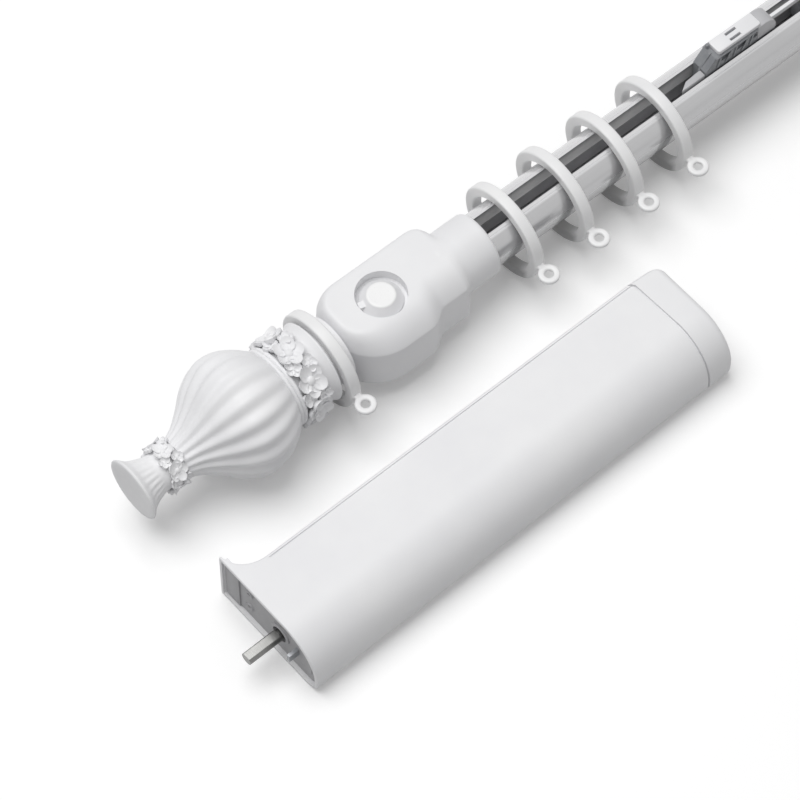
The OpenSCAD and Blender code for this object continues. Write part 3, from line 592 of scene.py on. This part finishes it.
garlandFit = {
    "small_garland": {
        "seed": 3, "count": 6, "phase": 49, "along": 19.6, "radius": 9.2, "size": 9.4,
        "rise": 3.3, "low": 0.3, "smallSize": 5.8, "sideStep": 3},
    "large_garland": {
        "seed": 8, "count": 8, "phase": -2, "along": 90, "radius": 17.7, "size": 13.8,
        "rise": 4.6, "low": 1, "smallSize": 8, "sideStep": 3.6}}
finialForms = {"finial_foot": finialFoot(), "finial_bulb": finialBulb(),
               "finial_neck": finialNeck(), **{name: garland(g) for name, g in garlandFit.items()}}
for part, form in finialForms.items():
    title = part.title().replace("_", "")
    group = softForms if part in garlandFit else softEdges
    for end, shape in (("near", form), ("far", copied(form, mirrored))):
        makePiece(end + title, shape, "whiteResinPainted", "root", [end + "_" + part], group)
print("finials made")


# Rings: a rounded band with a soft washer-like eyelet on a short neck
ringFit = {
    "inner": 38.6, "outer": 49.5, "width": 5.8, "round": 1, "drop": 5, "endDrop": 3,
    "spin": 128, "first": -34.5, "second": 73, "pitch": 30.1,
    "eyeOuter": 10.3, "eyeHole": 2.1, "eyeThick": 2.4, "eyeRound": 0.95, "eyeReach": 30.8,
    "neck": 1.9, "neckFlare": 1, "neckIn": 0.4, "neckOver": 1.4, "neckThin": 0.1,
    "neckRound": 0.9, "neckRows": 6, "skin": 0.28, "softening": 3}


def ringBand():
    r = ringFit
    profile = roundedRect(0, (r["outer"] + r["inner"]) / 4, r["width"],
                          (r["outer"] - r["inner"]) / 2, r["round"], 6)
    return drawn(turnOnRod, profile, r["spin"], closed=True, axisZ=rodZ - r["drop"])


# washer and neck as one soft form: built overlapping, then joined by a fine remesh
def ringEyelet():
    r = ringFit
    bm = bmesh.new()
    z = (rodZ - r["drop"]) * mm
    radius, hole, reach = r["eyeOuter"] / 2, r["eyeHole"], r["eyeReach"]
    profile = roundedRect((radius + hole) / 2, 0, radius - hole, r["eyeThick"], r["eyeRound"], 5)
    verts = [bm.verts.new((x * mm, -reach * mm, z + h * mm)) for x, h in profile]
    revolve(bm, verts, (0, -reach * mm, z), (0, 0, 1), 40, closed=True)
    inner, outer = r["outer"] / 2 - r["neckIn"], reach - radius + r["neckOver"]
    rows = []
    for k in range(r["neckRows"] + 1):
        y = inner + (outer - inner) * k / r["neckRows"]
        half = r["neck"] + r["neckFlare"] * (2 * k / r["neckRows"] - 1) ** 2
        points = roundedRect(0, 0, 2 * half, r["eyeThick"] - r["neckThin"], r["neckRound"], 3)
        rows.append([bm.verts.new((x * mm, -y * mm, z + h * mm)) for x, h in points])
    bridge(bm, rows, True)
    return remeshed(bm, r["skin"], r["softening"])


ringForms = {"ringBand": (ringBand(), "ring_%d", softEdges),
             "ringEyelet": (ringEyelet(), "ring_%d_eyelet", softForms)}
for i in range(5):
    along = ringFit["second"] + (i - 1) * ringFit["pitch"] if i else ringFit["first"]
    shift = Vector((along, 0, 0 if i else ringFit["drop"] - ringFit["endDrop"])) * mm
    for name, (form, node, group) in ringForms.items():
        makePiece("%s_%d" % (name, i), copied(form, lambda co: co + shift), "whiteNylonMoulded",
                  "ring_%d" % i, [node % i], group)
print("rings made")


# Housings: round head, bulge and block under a crowned cover, with a collar that holds the rod
housingFit = {
    "headX": -4.5, "headY": -0.6, "headR": 23.5, "headSteps": 60,
    "blockBack": 21.4, "backCorner": 15, "farCorner": 9.5, "farShare": 0.5,
    "bulgeX": 9.5, "bulgeR": 10, "rampAngle": 35, "rampR": 5,
    "blockX": 39, "blockFront": 18.8, "corner": 4.5, "jointZ": 24, "top": 33.5,
    "coverWidth": 16, "coverBack": 5.5, "coverTurn": 2.2, "coverCurve": 2.6,
    "coverSteps": 26, "bossX": -28, "bossR": 9, "bossDrop": 2.5,
    "collarIn": 6, "collarEnd": 57.7, "collarR": 16.2, "collarSpin": 144,
    "collarEdge": ((-1.5, 0), (-0.6, -0.4), (-0.1, -1), (0, -1.7)),
    "skin": 0.5, "softening": 2,
    "saddle": (35, 43), "saddleLow": 1.2, "saddleSoftening": 45,
    "rodStart": 12.8, "rodHole": 14.1,
    "chamberR": 9.5, "chamberLow": 7.6, "chamberHigh": 21.3, "studR": 5.02,
    "studIn": 13, "screwSpots": ((9.5, 15), (9.5, -15), (-17, 11), (-17, -11)),
    "screwR": 1.12, "headHoleR": 2, "headHoleTop": 2.4, "screwTop": 29.5,
    "hubHoleR": 5.3, "bushR": 8.02, "bottom": 4, "upperBush": 2.5,
    "recessLow": 28, "recessR": 12.1, "above": 40, "axleR": 2.52,
    "keySlot": {"y": -11.5, "deep": 2.2, "wide": 5.6, "high": 6},
    "over": 1, "lap": 0.1, "seatLap": 0.05, "hair": 0.01}


def arcPoints(x, y, r, start, end, steps):
    turns = (math.radians(start + (end - start) * k / steps) for k in range(steps + 1))
    return [(x + r * math.cos(t), y + r * math.sin(t)) for t in turns]


# the outline seen from above, slid up the cover's slope from the edge at 0 to the flat top at 1
def housingPlan(t=0.0):
    h = housingFit
    c, r, ramp = h["corner"], h["bulgeR"], math.radians(h["rampAngle"])
    bulgeY = h["headY"] - h["headR"] + r
    rise = r * math.cos(ramp) - bulgeY - h["blockFront"] - h["rampR"] * (1 - math.cos(ramp))
    rampX = h["bulgeX"] + (r + h["rampR"]) * math.sin(ramp) + rise / math.tan(ramp)
    back, front, boss = t * h["coverBack"], t * h["coverWidth"], h["headX"] - h["headR"]
    slope = back * h["farShare"]
    head = []
    for k in range(1, h["headSteps"] + 1):
        a = math.radians(180 + 90 * k / h["headSteps"])
        share = (-math.sin(a)) ** h["coverTurn"]
        reach = h["headR"] - t * (h["coverBack"] + (h["coverWidth"] - h["coverBack"]) * share)
        head.append((h["headX"] + reach * math.cos(a), h["headY"] + reach * math.sin(a)))
    return (arcPoints(h["blockX"] - h["farCorner"], h["blockBack"] - h["farCorner"] - slope,
                      h["farCorner"] - slope, 0, 90, 16)
            + arcPoints(boss + h["backCorner"], h["blockBack"] - h["backCorner"],
                        h["backCorner"] - back, 90, 180, 24)
            + head
            + arcPoints(h["bulgeX"], bulgeY + front, r, 270, 270 + h["rampAngle"], 10)
            + arcPoints(rampX, -h["blockFront"] - h["rampR"] + front, h["rampR"],
                        90 + h["rampAngle"], 90, 8)
            + arcPoints(h["blockX"] - c, c - h["blockFront"] + front, c, 270, 360, 10))


# simple closed forms in mm: a rod along X, an upright rod and a box
def rod(bm, place, turn, length, r, segments):
    bmesh.ops.create_cone(bm, cap_ends=True, segments=segments, radius1=r * mm, radius2=r * mm,
                          depth=length * mm, matrix=Matrix.Translation(place) @ turn)


def tube(bm, x0, x1, r, z=rodZ):
    turn = Matrix.Rotation(math.pi / 2, 4, "Y")
    rod(bm, ((x0 + x1) / 2 * mm, 0, z * mm), turn, x1 - x0, r, 96)


def post(bm, z0, z1, r, x=0, y=0, segments=96):
    rod(bm, (x * mm, y * mm, (z0 + z1) / 2 * mm), Matrix(), z1 - z0, r, segments)


def block(bm, x0, x1, y0, y1, z0, z1, unit=mm):
    middle = Vector(((x0 + x1) / 2 * unit, (y0 + y1) / 2 * unit, (z0 + z1) / 2 * unit))
    size = Matrix.Diagonal(((x1 - x0) * unit, (y1 - y0) * unit, (z1 - z0) * unit, 1))
    bmesh.ops.create_cube(bm, size=1, matrix=Matrix.Translation(middle) @ size)


# the outer skin of a housing before its hollows are cut
def housingSkin():
    h = housingFit
    bm = bmesh.new()
    rings = [[(x, y, 0) for x, y in housingPlan()]]
    for k in range(h["coverSteps"] + 1):
        t = k / h["coverSteps"]
        z = h["top"] - (h["top"] - h["jointZ"]) * (1 - t) ** h["coverCurve"]
        rings.append([(x, y, z) for x, y in housingPlan(t)])
    loops = [[bm.verts.new((x * mm, y * mm, z * mm)) for x, y, z in ring] for ring in rings]
    bridge(bm, loops, True)
    tube(bm, h["bossX"], h["headX"], h["bossR"], z=rodZ - h["bossDrop"])
    start, end, r = h["blockX"] - h["collarIn"], h["collarEnd"], h["collarR"]
    line = [(start, 0), (start, r)] + [(end + u, r + v) for u, v in h["collarEdge"]] + [(end, 0)]
    turnOnRod(bm, line, h["collarSpin"])
    bm = remeshed(bm, h["skin"], h["softening"])
    low, high = h["saddle"]
    near = [v for v in bm.verts if low * mm < v.co.x < high * mm and v.co.z > h["saddleLow"] * mm]
    soften(bm, near, h["saddleSoftening"])
    return bm


# what every housing holds: rod, belt chamber, stud and screws
def housingHollows():
    h = housingFit
    boss, over, half = h["bossX"], h["over"], h["chamberR"]
    cutters = [drawn(tube, h["rodStart"], h["collarEnd"] + over, h["rodHole"]),
               drawn(block, 0, h["rodStart"] + over, -half, half, h["chamberLow"],
                     h["chamberHigh"]),
               drawn(post, h["chamberLow"] - h["hair"], h["jointZ"], half - h["hair"]),
               drawn(tube, boss - over, boss + h["studIn"], h["studR"])]
    for x, y in h["screwSpots"]:
        for low, high, r in ((-over, h["headHoleTop"], h["headHoleR"]),
                             (h["headHoleTop"] - h["lap"], h["screwTop"], h["screwR"])):
            cutters.append(drawn(post, low, high, r, x, y, 32))
    return cutters


h = housingFit
key = h["keySlot"]
skin = housingSkin()
farSkin = copied(skin, mirrored)
driveCuts = housingHollows() + [
    drawn(post, -h["over"], h["bottom"] + h["lap"], h["hubHoleR"]),
    drawn(post, h["bottom"], h["chamberLow"] + h["seatLap"], h["bushR"]),
    drawn(post, h["jointZ"] - h["lap"], h["jointZ"] + h["upperBush"], h["bushR"]),
    drawn(post, h["jointZ"] + h["over"], h["recessLow"] + h["lap"], h["hubHoleR"]),
    drawn(post, h["recessLow"], h["above"], h["recessR"], segments=128),
    drawn(block, -key["wide"] / 2, key["wide"] / 2, key["y"] - key["deep"] / 2,
          key["y"] + key["deep"] / 2, -h["over"], key["high"])]
makePiece("driveHousing", cutOut(skin, driveCuts), "whiteAbsMoulded", "root",
          ["drive_body", "drive_cover"])
idlerCuts = housingHollows() + [
    drawn(post, h["bottom"], h["jointZ"] + h["upperBush"], h["axleR"], segments=48)]
for tool in idlerCuts:
    for v in tool.verts:
        v.co = mirrored(v.co)
bmesh.ops.reverse_faces(farSkin, faces=farSkin.faces)
makePiece("idlerHousing", cutOut(farSkin, idlerCuts), "whiteAbsMoulded", "root",
          ["idler_body", "idler_cover"])
print("housings made")


# Hub cap in the recess: a tapered button with a pointer that runs to the rim
capFit = {
    "low": 28.35, "high": 33.35, "base": 10.2, "top": 6.5, "spin": 72,
    "foot": ((0, 0), (0, 0.9), (-0.4, 1.2)), "brow": ((0.5, -0.6), (0.2, -0.2), (-0.3, 0)),
    "pointerTurn": 165, "pointerHalf": 1.8, "pointerIn": 1, "pointerReach": 11.4,
    "pointerHigh": 31.25, "stubHole": 3.52, "stubHigh": 30.65, "over": 1, "polished": 0.45,
    "skin": 0.25, "softening": 2}
c = capFit
line = ([(0, c["low"])] + [(c["base"] + u, c["low"] + v) for u, v in c["foot"]]
        + [(c["top"] + u, c["high"] + v) for u, v in c["brow"]] + [(0, c["high"])])
bm = bmesh.new()
revolve(bm, [bm.verts.new((r * mm, 0, z * mm)) for r, z in line], (0, 0, 0), (0, 0, 1), c["spin"])
bar = drawn(block, c["pointerIn"], c["pointerReach"], -c["pointerHalf"], c["pointerHalf"],
            c["low"], c["pointerHigh"])
bmesh.ops.rotate(bar, cent=(0, 0, 0), verts=bar.verts,
                 matrix=Matrix.Rotation(math.radians(c["pointerTurn"]), 3, "Z"))
joinForm(bm, bar)
stub = drawn(post, c["low"] - c["over"], c["stubHigh"], c["stubHole"], segments=48)
hubButton = makePiece("hubButton", cutOut(remeshed(bm, c["skin"], c["softening"]), [stub]),
                      "whiteAbsMoulded", "drive_pulley", ["drive_hub_cap"], softForms)
# the top faces take a whiter, glossier copy of the white ABS: painted light on the top, and a
# polish
hubButton.data.materials.append(finishes["whiteAbsPolished"])
for face in hubButton.data.polygons:
    if face.center.z > (c["high"] - c["polished"]) * mm:
        face.material_index = 1
print("hub button made")


# Motor: a case with a wide round along its front, a flange that sweeps out, a domed end cap and
# a grey end plate
motorFit = {
    "place": (-133.5, -90.4, -12.8), "yaw": 0.9, "length": 246, "width": 53.5,
    "height": 33, "topRound": 22.5, "lowRound": 8, "backRound": 1.3, "backTaper": 0.7,
    "flangeReach": 12.5, "flangeEnd": 1.2, "flangeRound": 0.9, "sweepEnd": 16.5,
    "sweepSteps": 18, "wall": 1.8, "bendR": 8, "bendShare": 0.92, "bendStart": 190,
    "mouth": 0.35, "stations": (60, 120, 180, 190, 200, 210, 220),
    "innerStations": (200, 190), "seam": 0.6, "seamWidth": 1.1, "seamSlope": 0.06,
    "edgeSeam": 1.5, "edgeSeamEnd": 17.5, "edgeSeamFade": 0.5,
    "capLength": 15, "capRound": 3.6, "capSteps": 9, "capMore": 2, "capIn": 4,
    "capGap": 2, "capSeam": 1.3, "capSeamWidth": 0.95, "capSeamStep": 0.1,
    "shaftZ": 16.5, "leastRound": 0.25, "seamClear": 0.1}


# a section of the motor drawn smaller by an inset, as (y, z) points in mm, with a groove of the
# given depth along its back edge
def motorSection(inset, back, backRound, groove=0.0):
    m = motorFit
    y0, y1, z0, z1 = inset - m["width"] / 2, back - inset, inset, m["height"] - inset
    rounds = (backRound, m["topRound"], m["lowRound"])
    b, t, f = (max(r - inset, m["leastRound"]) for r in rounds)
    g = y1 - max(m["edgeSeam"], b + m["seamClear"])
    end, slope = g - m["seamWidth"], m["seamSlope"]
    line = [(g, z1), (g - slope, z1 - groove), (end + slope, z1 - groove), (end, z1)]
    return (arcPoints(y1 - b, z1 - b, b, 0, 90, 6) + line
            + arcPoints(y0 + t, z1 - t, t, 90, 180, 26)
            + arcPoints(y0 + f, z0 + f, f, 180, 270, 12)
            + arcPoints(y1 - b, z0 + b, b, 270, 360, 6))


# puts (x, y, z) in the motor's own frame, in mm, where the motor lies; the back edge tapers, and
# the back corner bends round towards the cap
def onMotor(x, y, z):
    m = motorFit
    y -= m["backTaper"] * max(x, 0) / m["length"] * (y / m["width"] + 0.5)
    bend = m["bendR"] * m["bendShare"]
    over = min(max(0.0, y - m["width"] / 2 + bend), bend)
    run = m["length"] - m["capLength"] - m["bendStart"]
    near = min(max((x - m["bendStart"]) / run, 0.0), 1.0)
    x -= near * (m["bendR"] - math.sqrt(m["bendR"] ** 2 - over ** 2))
    c, s = math.cos(math.radians(m["yaw"])), math.sin(math.radians(m["yaw"]))
    px, py, pz = m["place"]
    return Vector((px + c * x - s * y, py + s * x + c * y, pz + z)) * mm


# skins a row of equal sections; the ends are closed, or joined to each other for a hollow form
def skinned(sections, hollow=False):
    bm = bmesh.new()
    loops = [[bm.verts.new(onMotor(x, y, z)) for y, z in points] for x, points in sections]
    bridge(bm, loops + loops[:1] if hollow else loops, not hollow)
    return bm


m = motorFit
back, flange, rounding = m["width"] / 2, m["flangeRound"], m["backRound"]
reach = back + m["flangeReach"]
seamX = m["length"] - m["capLength"]
grooveX = seamX - m["capSeamWidth"]
wall = m["wall"]
sweep = []
for k in range(1, m["sweepSteps"] + 1):
    turn = math.pi / 2 * k / m["sweepSteps"]
    sweep.append((m["flangeEnd"] + (m["sweepEnd"] - m["flangeEnd"]) * (1 - math.cos(turn)), 0,
                  reach - m["flangeReach"] * math.sin(turn),
                  flange + (rounding - flange) * (k / m["sweepSteps"]) ** 2, 0))

# Recessed end plate: a collar round the shaft, a raised panel in the flange, a rib and two screw
# seats, all in steps from the plate's face
plateFit = {
    "at": 2, "thick": 1.4, "gap": 0.15, "over": 1, "sunk": 0.1,
    "shaftHole": 4, "tongueY": -11.5, "tongueWide": 1.64, "tongueHigh": 5.04,
    "tongueSoft": 0.05, "soft": 0.25,
    "collar": ((-0.9, 4.3), (-0.9, 5.4), (-0.6, 5.8), (0.1, 5.8), (0.1, 4.3)),
    "seat": ((-0.5, 0.9), (-0.7, 1.6), (-0.7, 2.3), (0.1, 2.5), (0.1, 0.9)),
    "seatY": 21, "seatUp": 6, "panelOut": 0.8, "panelIn": 0.8, "panelEdge": 0.3,
    "ribOut": 0.5, "ribY": (-21, -20.2), "ribZ": (9, 24)}
p = plateFit
recess = p["at"] + p["thick"]

# rows of (along, inset, back edge, back rounding, depth of the groove along the back edge): the
# outside from the mouth to the cap, and then the inside back again
caseRows = [(0, m["mouth"], reach, flange, 0), (m["mouth"], 0, reach, flange, 0),
            (m["flangeEnd"], 0, reach, flange, 0)] + sweep
for x in (m["edgeSeamEnd"] + m["edgeSeamFade"], *m["stations"], grooveX):
    caseRows.append((x, 0, back, rounding, m["seam"]))
caseRows += [(grooveX + m["capSeamStep"], m["capSeam"], back, rounding, 0),
             (seamX, m["capSeam"], back, rounding, 0)]
for x in (seamX, *m["innerStations"], recess):
    caseRows.append((x, wall, back, rounding, 0))
caseRows += [(recess, wall, reach, flange, 0), (0, wall, reach, flange, 0)]
caseSections = [(x, motorSection(i, y, r, g)) for x, i, y, r, g in caseRows]
makePiece("motorCase", skinned(caseSections, hollow=True), "whiteAbsMoulded", "motor",
          ["motor_case"])

capRows = [(seamX - m["capIn"], m["capGap"], 0), (seamX, m["capGap"], 0),
           (seamX, m["capSeam"], 0), (seamX + m["capSeamStep"], 0, 0)]
for k in range(m["capSteps"] + 1):
    turn = math.pi / 2 * k / m["capSteps"]
    capRows.append((m["length"] - m["capRound"] * (1 - math.sin(turn)),
                    m["capRound"] * (1 - math.cos(turn)), m["capMore"]))
capSections = [(x, motorSection(i, back, rounding + more)) for x, i, more in capRows]
makePiece("motorEndCap", skinned(capSections), "whiteAbsMoulded", "motor", ["motor_end_cap"])


# adds a form drawn in the motor's own frame to one in the scene's
def addOnMotor(bm, part):
    for v in part.verts:
        v.co = onMotor(*v.co)
    joinForm(bm, part)


# one closed box in the motor's frame, with softened edges
def motorBlock(bm, x0, x1, y0, y1, z0, z1, soft):
    part = drawn(block, x0, x1, y0, y1, z0, z1, unit=1)
    bevelled(part, soft)
    addOnMotor(bm, part)


# a tube or rod along the motor's axis from rows of (x, radius), round (y, z)
def motorTurned(bm, rows, y, z, steps=48, closed=False):
    part = bmesh.new()
    verts = [part.verts.new((x, y, z + r)) for x, r in rows]
    revolve(part, verts, (0, y, z), (1, 0, 0), steps, closed)
    addOnMotor(bm, part)


gap, z, at = wall + p["gap"], m["shaftZ"], p["at"]
outline = motorSection(gap, reach, flange)
start, end = at - p["over"], recess + p["over"]
hole = [(start, 0), (start, p["shaftHole"]), (end, p["shaftHole"]), (end, 0)]
slit = drawn(motorBlock, start, end, p["tongueY"] - p["tongueWide"] / 2,
             p["tongueY"] + p["tongueWide"] / 2, z - p["tongueHigh"] / 2,
             z + p["tongueHigh"] / 2, p["tongueSoft"])
plate = cutOut(skinned([(at, outline), (recess, outline)]), [drawn(motorTurned, hole, 0, z), slit])
motorTurned(plate, [(at + u, r) for u, r in p["collar"]], 0, z, closed=True)
for up in (p["seatUp"], -p["seatUp"]):
    motorTurned(plate, [(at + u, r) for u, r in p["seat"]], p["seatY"], z + up, 24, closed=True)
edge = gap + p["panelEdge"]
motorBlock(plate, at - p["panelOut"], at + p["sunk"], back + p["panelIn"], reach - edge, edge,
           m["height"] - edge, p["soft"])
motorBlock(plate, at - p["ribOut"], at + p["sunk"], *p["ribY"], *p["ribZ"], p["soft"])
makePiece("motorEndPlate", plate, "greyAbsMoulded", "motor", ["motor_face_plate"])
print("motor made")


# Carrier: a slotted top plate, an arm that runs ahead in the slot, ribbed sides with a post and
# a brace, and a rounded nose
carrierFit = {
    "plateX": (197.8, 223.6), "plateHalf": 3.9, "plateZ": (40, 42.5),
    "plateCorner": 1.2, "plateSoft": 0.3, "over": 1,
    "slotX": (206.4, 212.8), "slotY": (1.75, -1.85), "slotHalf": 0.7,
    "arm": ((175.6, -4.2), (189.8, -4.2), (189.8, -0.5), (180.4, -1.2)),
    "armZ": (21.5, 32.3), "armSoft": 0.35,
    "ribY": 4.3, "ribIn": 0.1, "ribOut": 0.55, "ribLow": 32, "ribHigh": 39.8,
    "ribX": (196.5, 221.5), "ribs": 5, "ribWide": 1.1, "ribLeans": (0.35, 0.75),
    "ribTuck": 0.4, "ribSoft": 0.12, "railOver": 1, "railThick": 0.9,
    "post": ((195.9, 2.3), (197.1, 2.3), (197.1, 3.9), (195.9, 3.9)),
    "postZ": (38, 42.4), "postSoft": 0.15,
    "brace": ((188.9, 32), (190.1, 32), (196.2, 40.4), (194.8, 40.4)),
    "braceY": (-0.9, 0.3),
    "nose": ((221.8, 31.2), (221.8, 40.7), (226.5, 41), (229.4, 40.2),
             (231.8, 38.2), (233.2, 35.2), (233.5, 32.6), (233.4, 31.2)),
    "noseY": (-4.6, 4.6), "noseSoft": 0.7}


# a closed prism with softened edges: from a plan in (x, y) between two heights, or from a side
# view in (x, z) between two places across the rod
def prism(bm, outline, start, end, soft, side=False):
    part = bmesh.new()
    part.faces.new([part.verts.new((x, y, start)) for x, y in outline])
    lift = bmesh.ops.extrude_face_region(part, geom=part.faces[:])
    for v in lift["geom"]:
        if isinstance(v, bmesh.types.BMVert):
            v.co.z = end
    bevelled(part, soft)
    bmesh.ops.scale(part, vec=(mm, mm, mm), verts=part.verts)
    if side:
        for v in part.verts:
            v.co = Vector((v.co.x, v.co.z, v.co.y))
    joinForm(bm, part)


c = carrierFit
(x0, x1), (z0, z1), half, over = c["plateX"], c["plateZ"], c["slotHalf"], c["over"]
plan = roundedRect((x0 + x1) / 2, 0, x1 - x0, 2 * c["plateHalf"], c["plateCorner"], 4)
top = drawn(prism, plan, z0, z1, c["plateSoft"])
cuts = [drawn(block, *c["slotX"], y - half, y + half, z0 - over, z1 + over) for y in c["slotY"]]
makePiece("carrierPlate", cutOut(top, cuts), "whiteAbsMoulded", "carrier", ["carrier_plate"])
arm = drawn(prism, c["arm"], *c["armZ"], c["armSoft"])
makePiece("carrierArm", arm, "paleNylonMoulded", "carrier", ["carrier_arm"])

# ribs stand on both sides of the body: leaning struts under a rail
bm = bmesh.new()
a, b = c["ribX"]
step, wide, top = (b - a) / c["ribs"], c["ribWide"], c["ribHigh"]
start, rail, tuck = a - c["railOver"], top - c["railThick"], top - c["ribTuck"]
for side in (-1, 1):
    inner, outer = side * (c["ribY"] - c["ribIn"]), side * (c["ribY"] + c["ribOut"])
    across = min(inner, outer), max(inner, outer)
    prism(bm, ((start, rail), (b, rail), (b, top), (start, top)), *across, c["ribSoft"], True)
    for k in range(c["ribs"]):
        x = a + step * k
        lean = step * c["ribLeans"][k % 2]
        prism(bm, ((x, c["ribLow"]), (x + wide, c["ribLow"]), (x + lean + wide, tuck),
                   (x + lean, tuck)), *across, c["ribSoft"], True)
prism(bm, c["post"], *c["postZ"], c["postSoft"])
prism(bm, c["brace"], *c["braceY"], c["ribSoft"], True)
makePiece("carrierRibs", bm, "greyAcetalMoulded", "carrier", [])
nose = drawn(prism, c["nose"], *c["noseY"], c["noseSoft"], True)
makePiece("carrierNose", nose, "paleNylonMoulded", "carrier", [])
print("carrier made")


# CAD nodes that stay, by finish
nodeFinish = {
    "satinAnodisedAluminium": ("rod",),
    "neopreneMoulded": ("belt",),
    "bronzeSintered": ("drive_bearing_lower", "drive_bearing_upper"),
    "groundSteel": ("drive_screws", "idler_axle", "idler_screws", "motor_shaft",
                    "near_finial_stud", "far_finial_stud"),
    "whiteNylonMoulded": ("drive_pulley", "idler_pulley"),
    "greyAcetalMoulded": ("carrier_body", "trailer_body"),
    "whiteAbsMoulded": ("belt_clamp", "carrier_link"),
    "darkNylonMoulded": ("front_wheels", "rear_wheels", "trailer_wheels"),
    "zincPlatedSteel": ("motor_latch", "motor_gearbox", "motor_can"),
    "greenSolderMask": ("motor_board",)}
for finish, names in nodeFinish.items():
    for name in names:
        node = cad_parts[name]
        for slot in node.material_slots:
            slot.material = finishes[finish]
        node.modifiers.new("softEdges", "NODES").node_group = softEdges
print("finishes given to", sum(map(len, nodeFinish.values())), "nodes")


# Stage: floor, sky and two lamps
stageFit = {
    "floorGap": 0.05, "floorSize": 5.0, "floorColour": "#ffffff", "floorLift": 0.1,
    "dullColour": "#b8b8b8", "skyLight": 0.36, "aim": (0.08, -0.02, 0.0)}
lampFit = {
    "keyLight": {"power": 53.0, "size": 2.5, "distance": 2.8, "from": (-0.14, 0.26, 1.0)},
    "fillLight": {"power": 2.2, "size": 1.6, "distance": 2.6, "from": (-0.25, -1.0, 0.85)}}


# 1 for rays that the picture shows, straight or by a mirror or glass, and 0 for the rest
def seenRays(tree):
    rays = addNode(tree, "ShaderNodeLightPath").outputs
    seen = computed(tree, "MAXIMUM", rays["Is Camera Ray"], rays["Is Glossy Ray"])
    return computed(tree, "MAXIMUM", seen, rays["Is Transmission Ray"])


bm = bmesh.new()
bmesh.ops.create_grid(bm, x_segments=1, y_segments=1, size=stageFit["floorSize"])
bmesh.ops.translate(bm, vec=(0, 0, cadBox[0][2] - stageFit["floorGap"] * mm), verts=bm.verts)
floor = meshObject("floor", bm)

# pale paper: the camera sees it a little lifted, so that it reads white and still takes shadow
paper = bpy.data.materials.new("paleSeamlessPaper")
tree = emptyTree(paper)
dull, bright = (addNode(tree, "ShaderNodeBsdfDiffuse", {"Color": linearColour(stageFit[key])})
                for key in ("dullColour", "floorColour"))
lift = addNode(tree, "ShaderNodeEmission", {"Strength": stageFit["floorLift"]})
lifted = addNode(tree, "ShaderNodeAddShader", {0: bright.outputs[0], 1: lift.outputs[0]})
both = addNode(tree, "ShaderNodeMixShader",
               {0: seenRays(tree), 1: dull.outputs[0], 2: lifted.outputs[0]})
addNode(tree, "ShaderNodeOutputMaterial", {"Surface": both.outputs[0]})
floor.data.materials.append(paper)

# a white sky that lights the scene less than it shows
world = bpy.data.worlds.new("studio")
scene.world = world
tree = emptyTree(world)
strength = mapped(tree, seenRays(tree), 0.0, 1.0, stageFit["skyLight"], 1.0)
sky = addNode(tree, "ShaderNodeBackground", {"Color": (1, 1, 1, 1), "Strength": strength})
addNode(tree, "ShaderNodeOutputWorld", {"Surface": sky.outputs[0]})

# a broad key from above and a weak fill from the front
for name, s in lampFit.items():
    lamp = bpy.data.lights.new(name, "AREA")
    lamp.shape = "DISK"
    lamp.size = s["size"]
    lamp.energy = s["power"]
    light = placed(name, lamp)
    towards = Vector(s["from"]).normalized()
    light.matrix_world = (Matrix.Translation(Vector(stageFit["aim"]) + towards * s["distance"])
                          @ towards.to_track_quat("Z", "Y").to_matrix().to_4x4())

# Camera: the photo's own place, as fitted to it
cameraFit = {
    "elevation": 60.481, "azimuth": 39.867, "roll": 0.112, "lens": 194.95,
    "sensor": 36, "farthest": 20, "place": (-0.62945, -0.76692, 1.69007)}
e, a, r = (math.radians(cameraFit[k]) for k in ("elevation", "azimuth", "roll"))
right = Vector((math.cos(a), -math.sin(a), 0))
up = Vector((math.sin(a) * math.sin(e), math.cos(a) * math.sin(e), math.cos(e)))
ahead = Vector((math.sin(a) * math.cos(e), math.cos(a) * math.cos(e), -math.sin(e)))
turn = Matrix((right * math.cos(r) + up * math.sin(r), up * math.cos(r) - right * math.sin(r),
               -ahead))
lens = bpy.data.cameras.new("photoCamera")
lens.lens = cameraFit["lens"]
lens.sensor_width = cameraFit["sensor"]
lens.clip_end = cameraFit["farthest"]
camera = placed("photoCamera", lens)
camera.matrix_world = Matrix.Translation(cameraFit["place"]) @ turn.transposed().to_4x4()
scene.camera = camera
scene.view_settings.view_transform = "Standard"
print("stage, light and camera set")
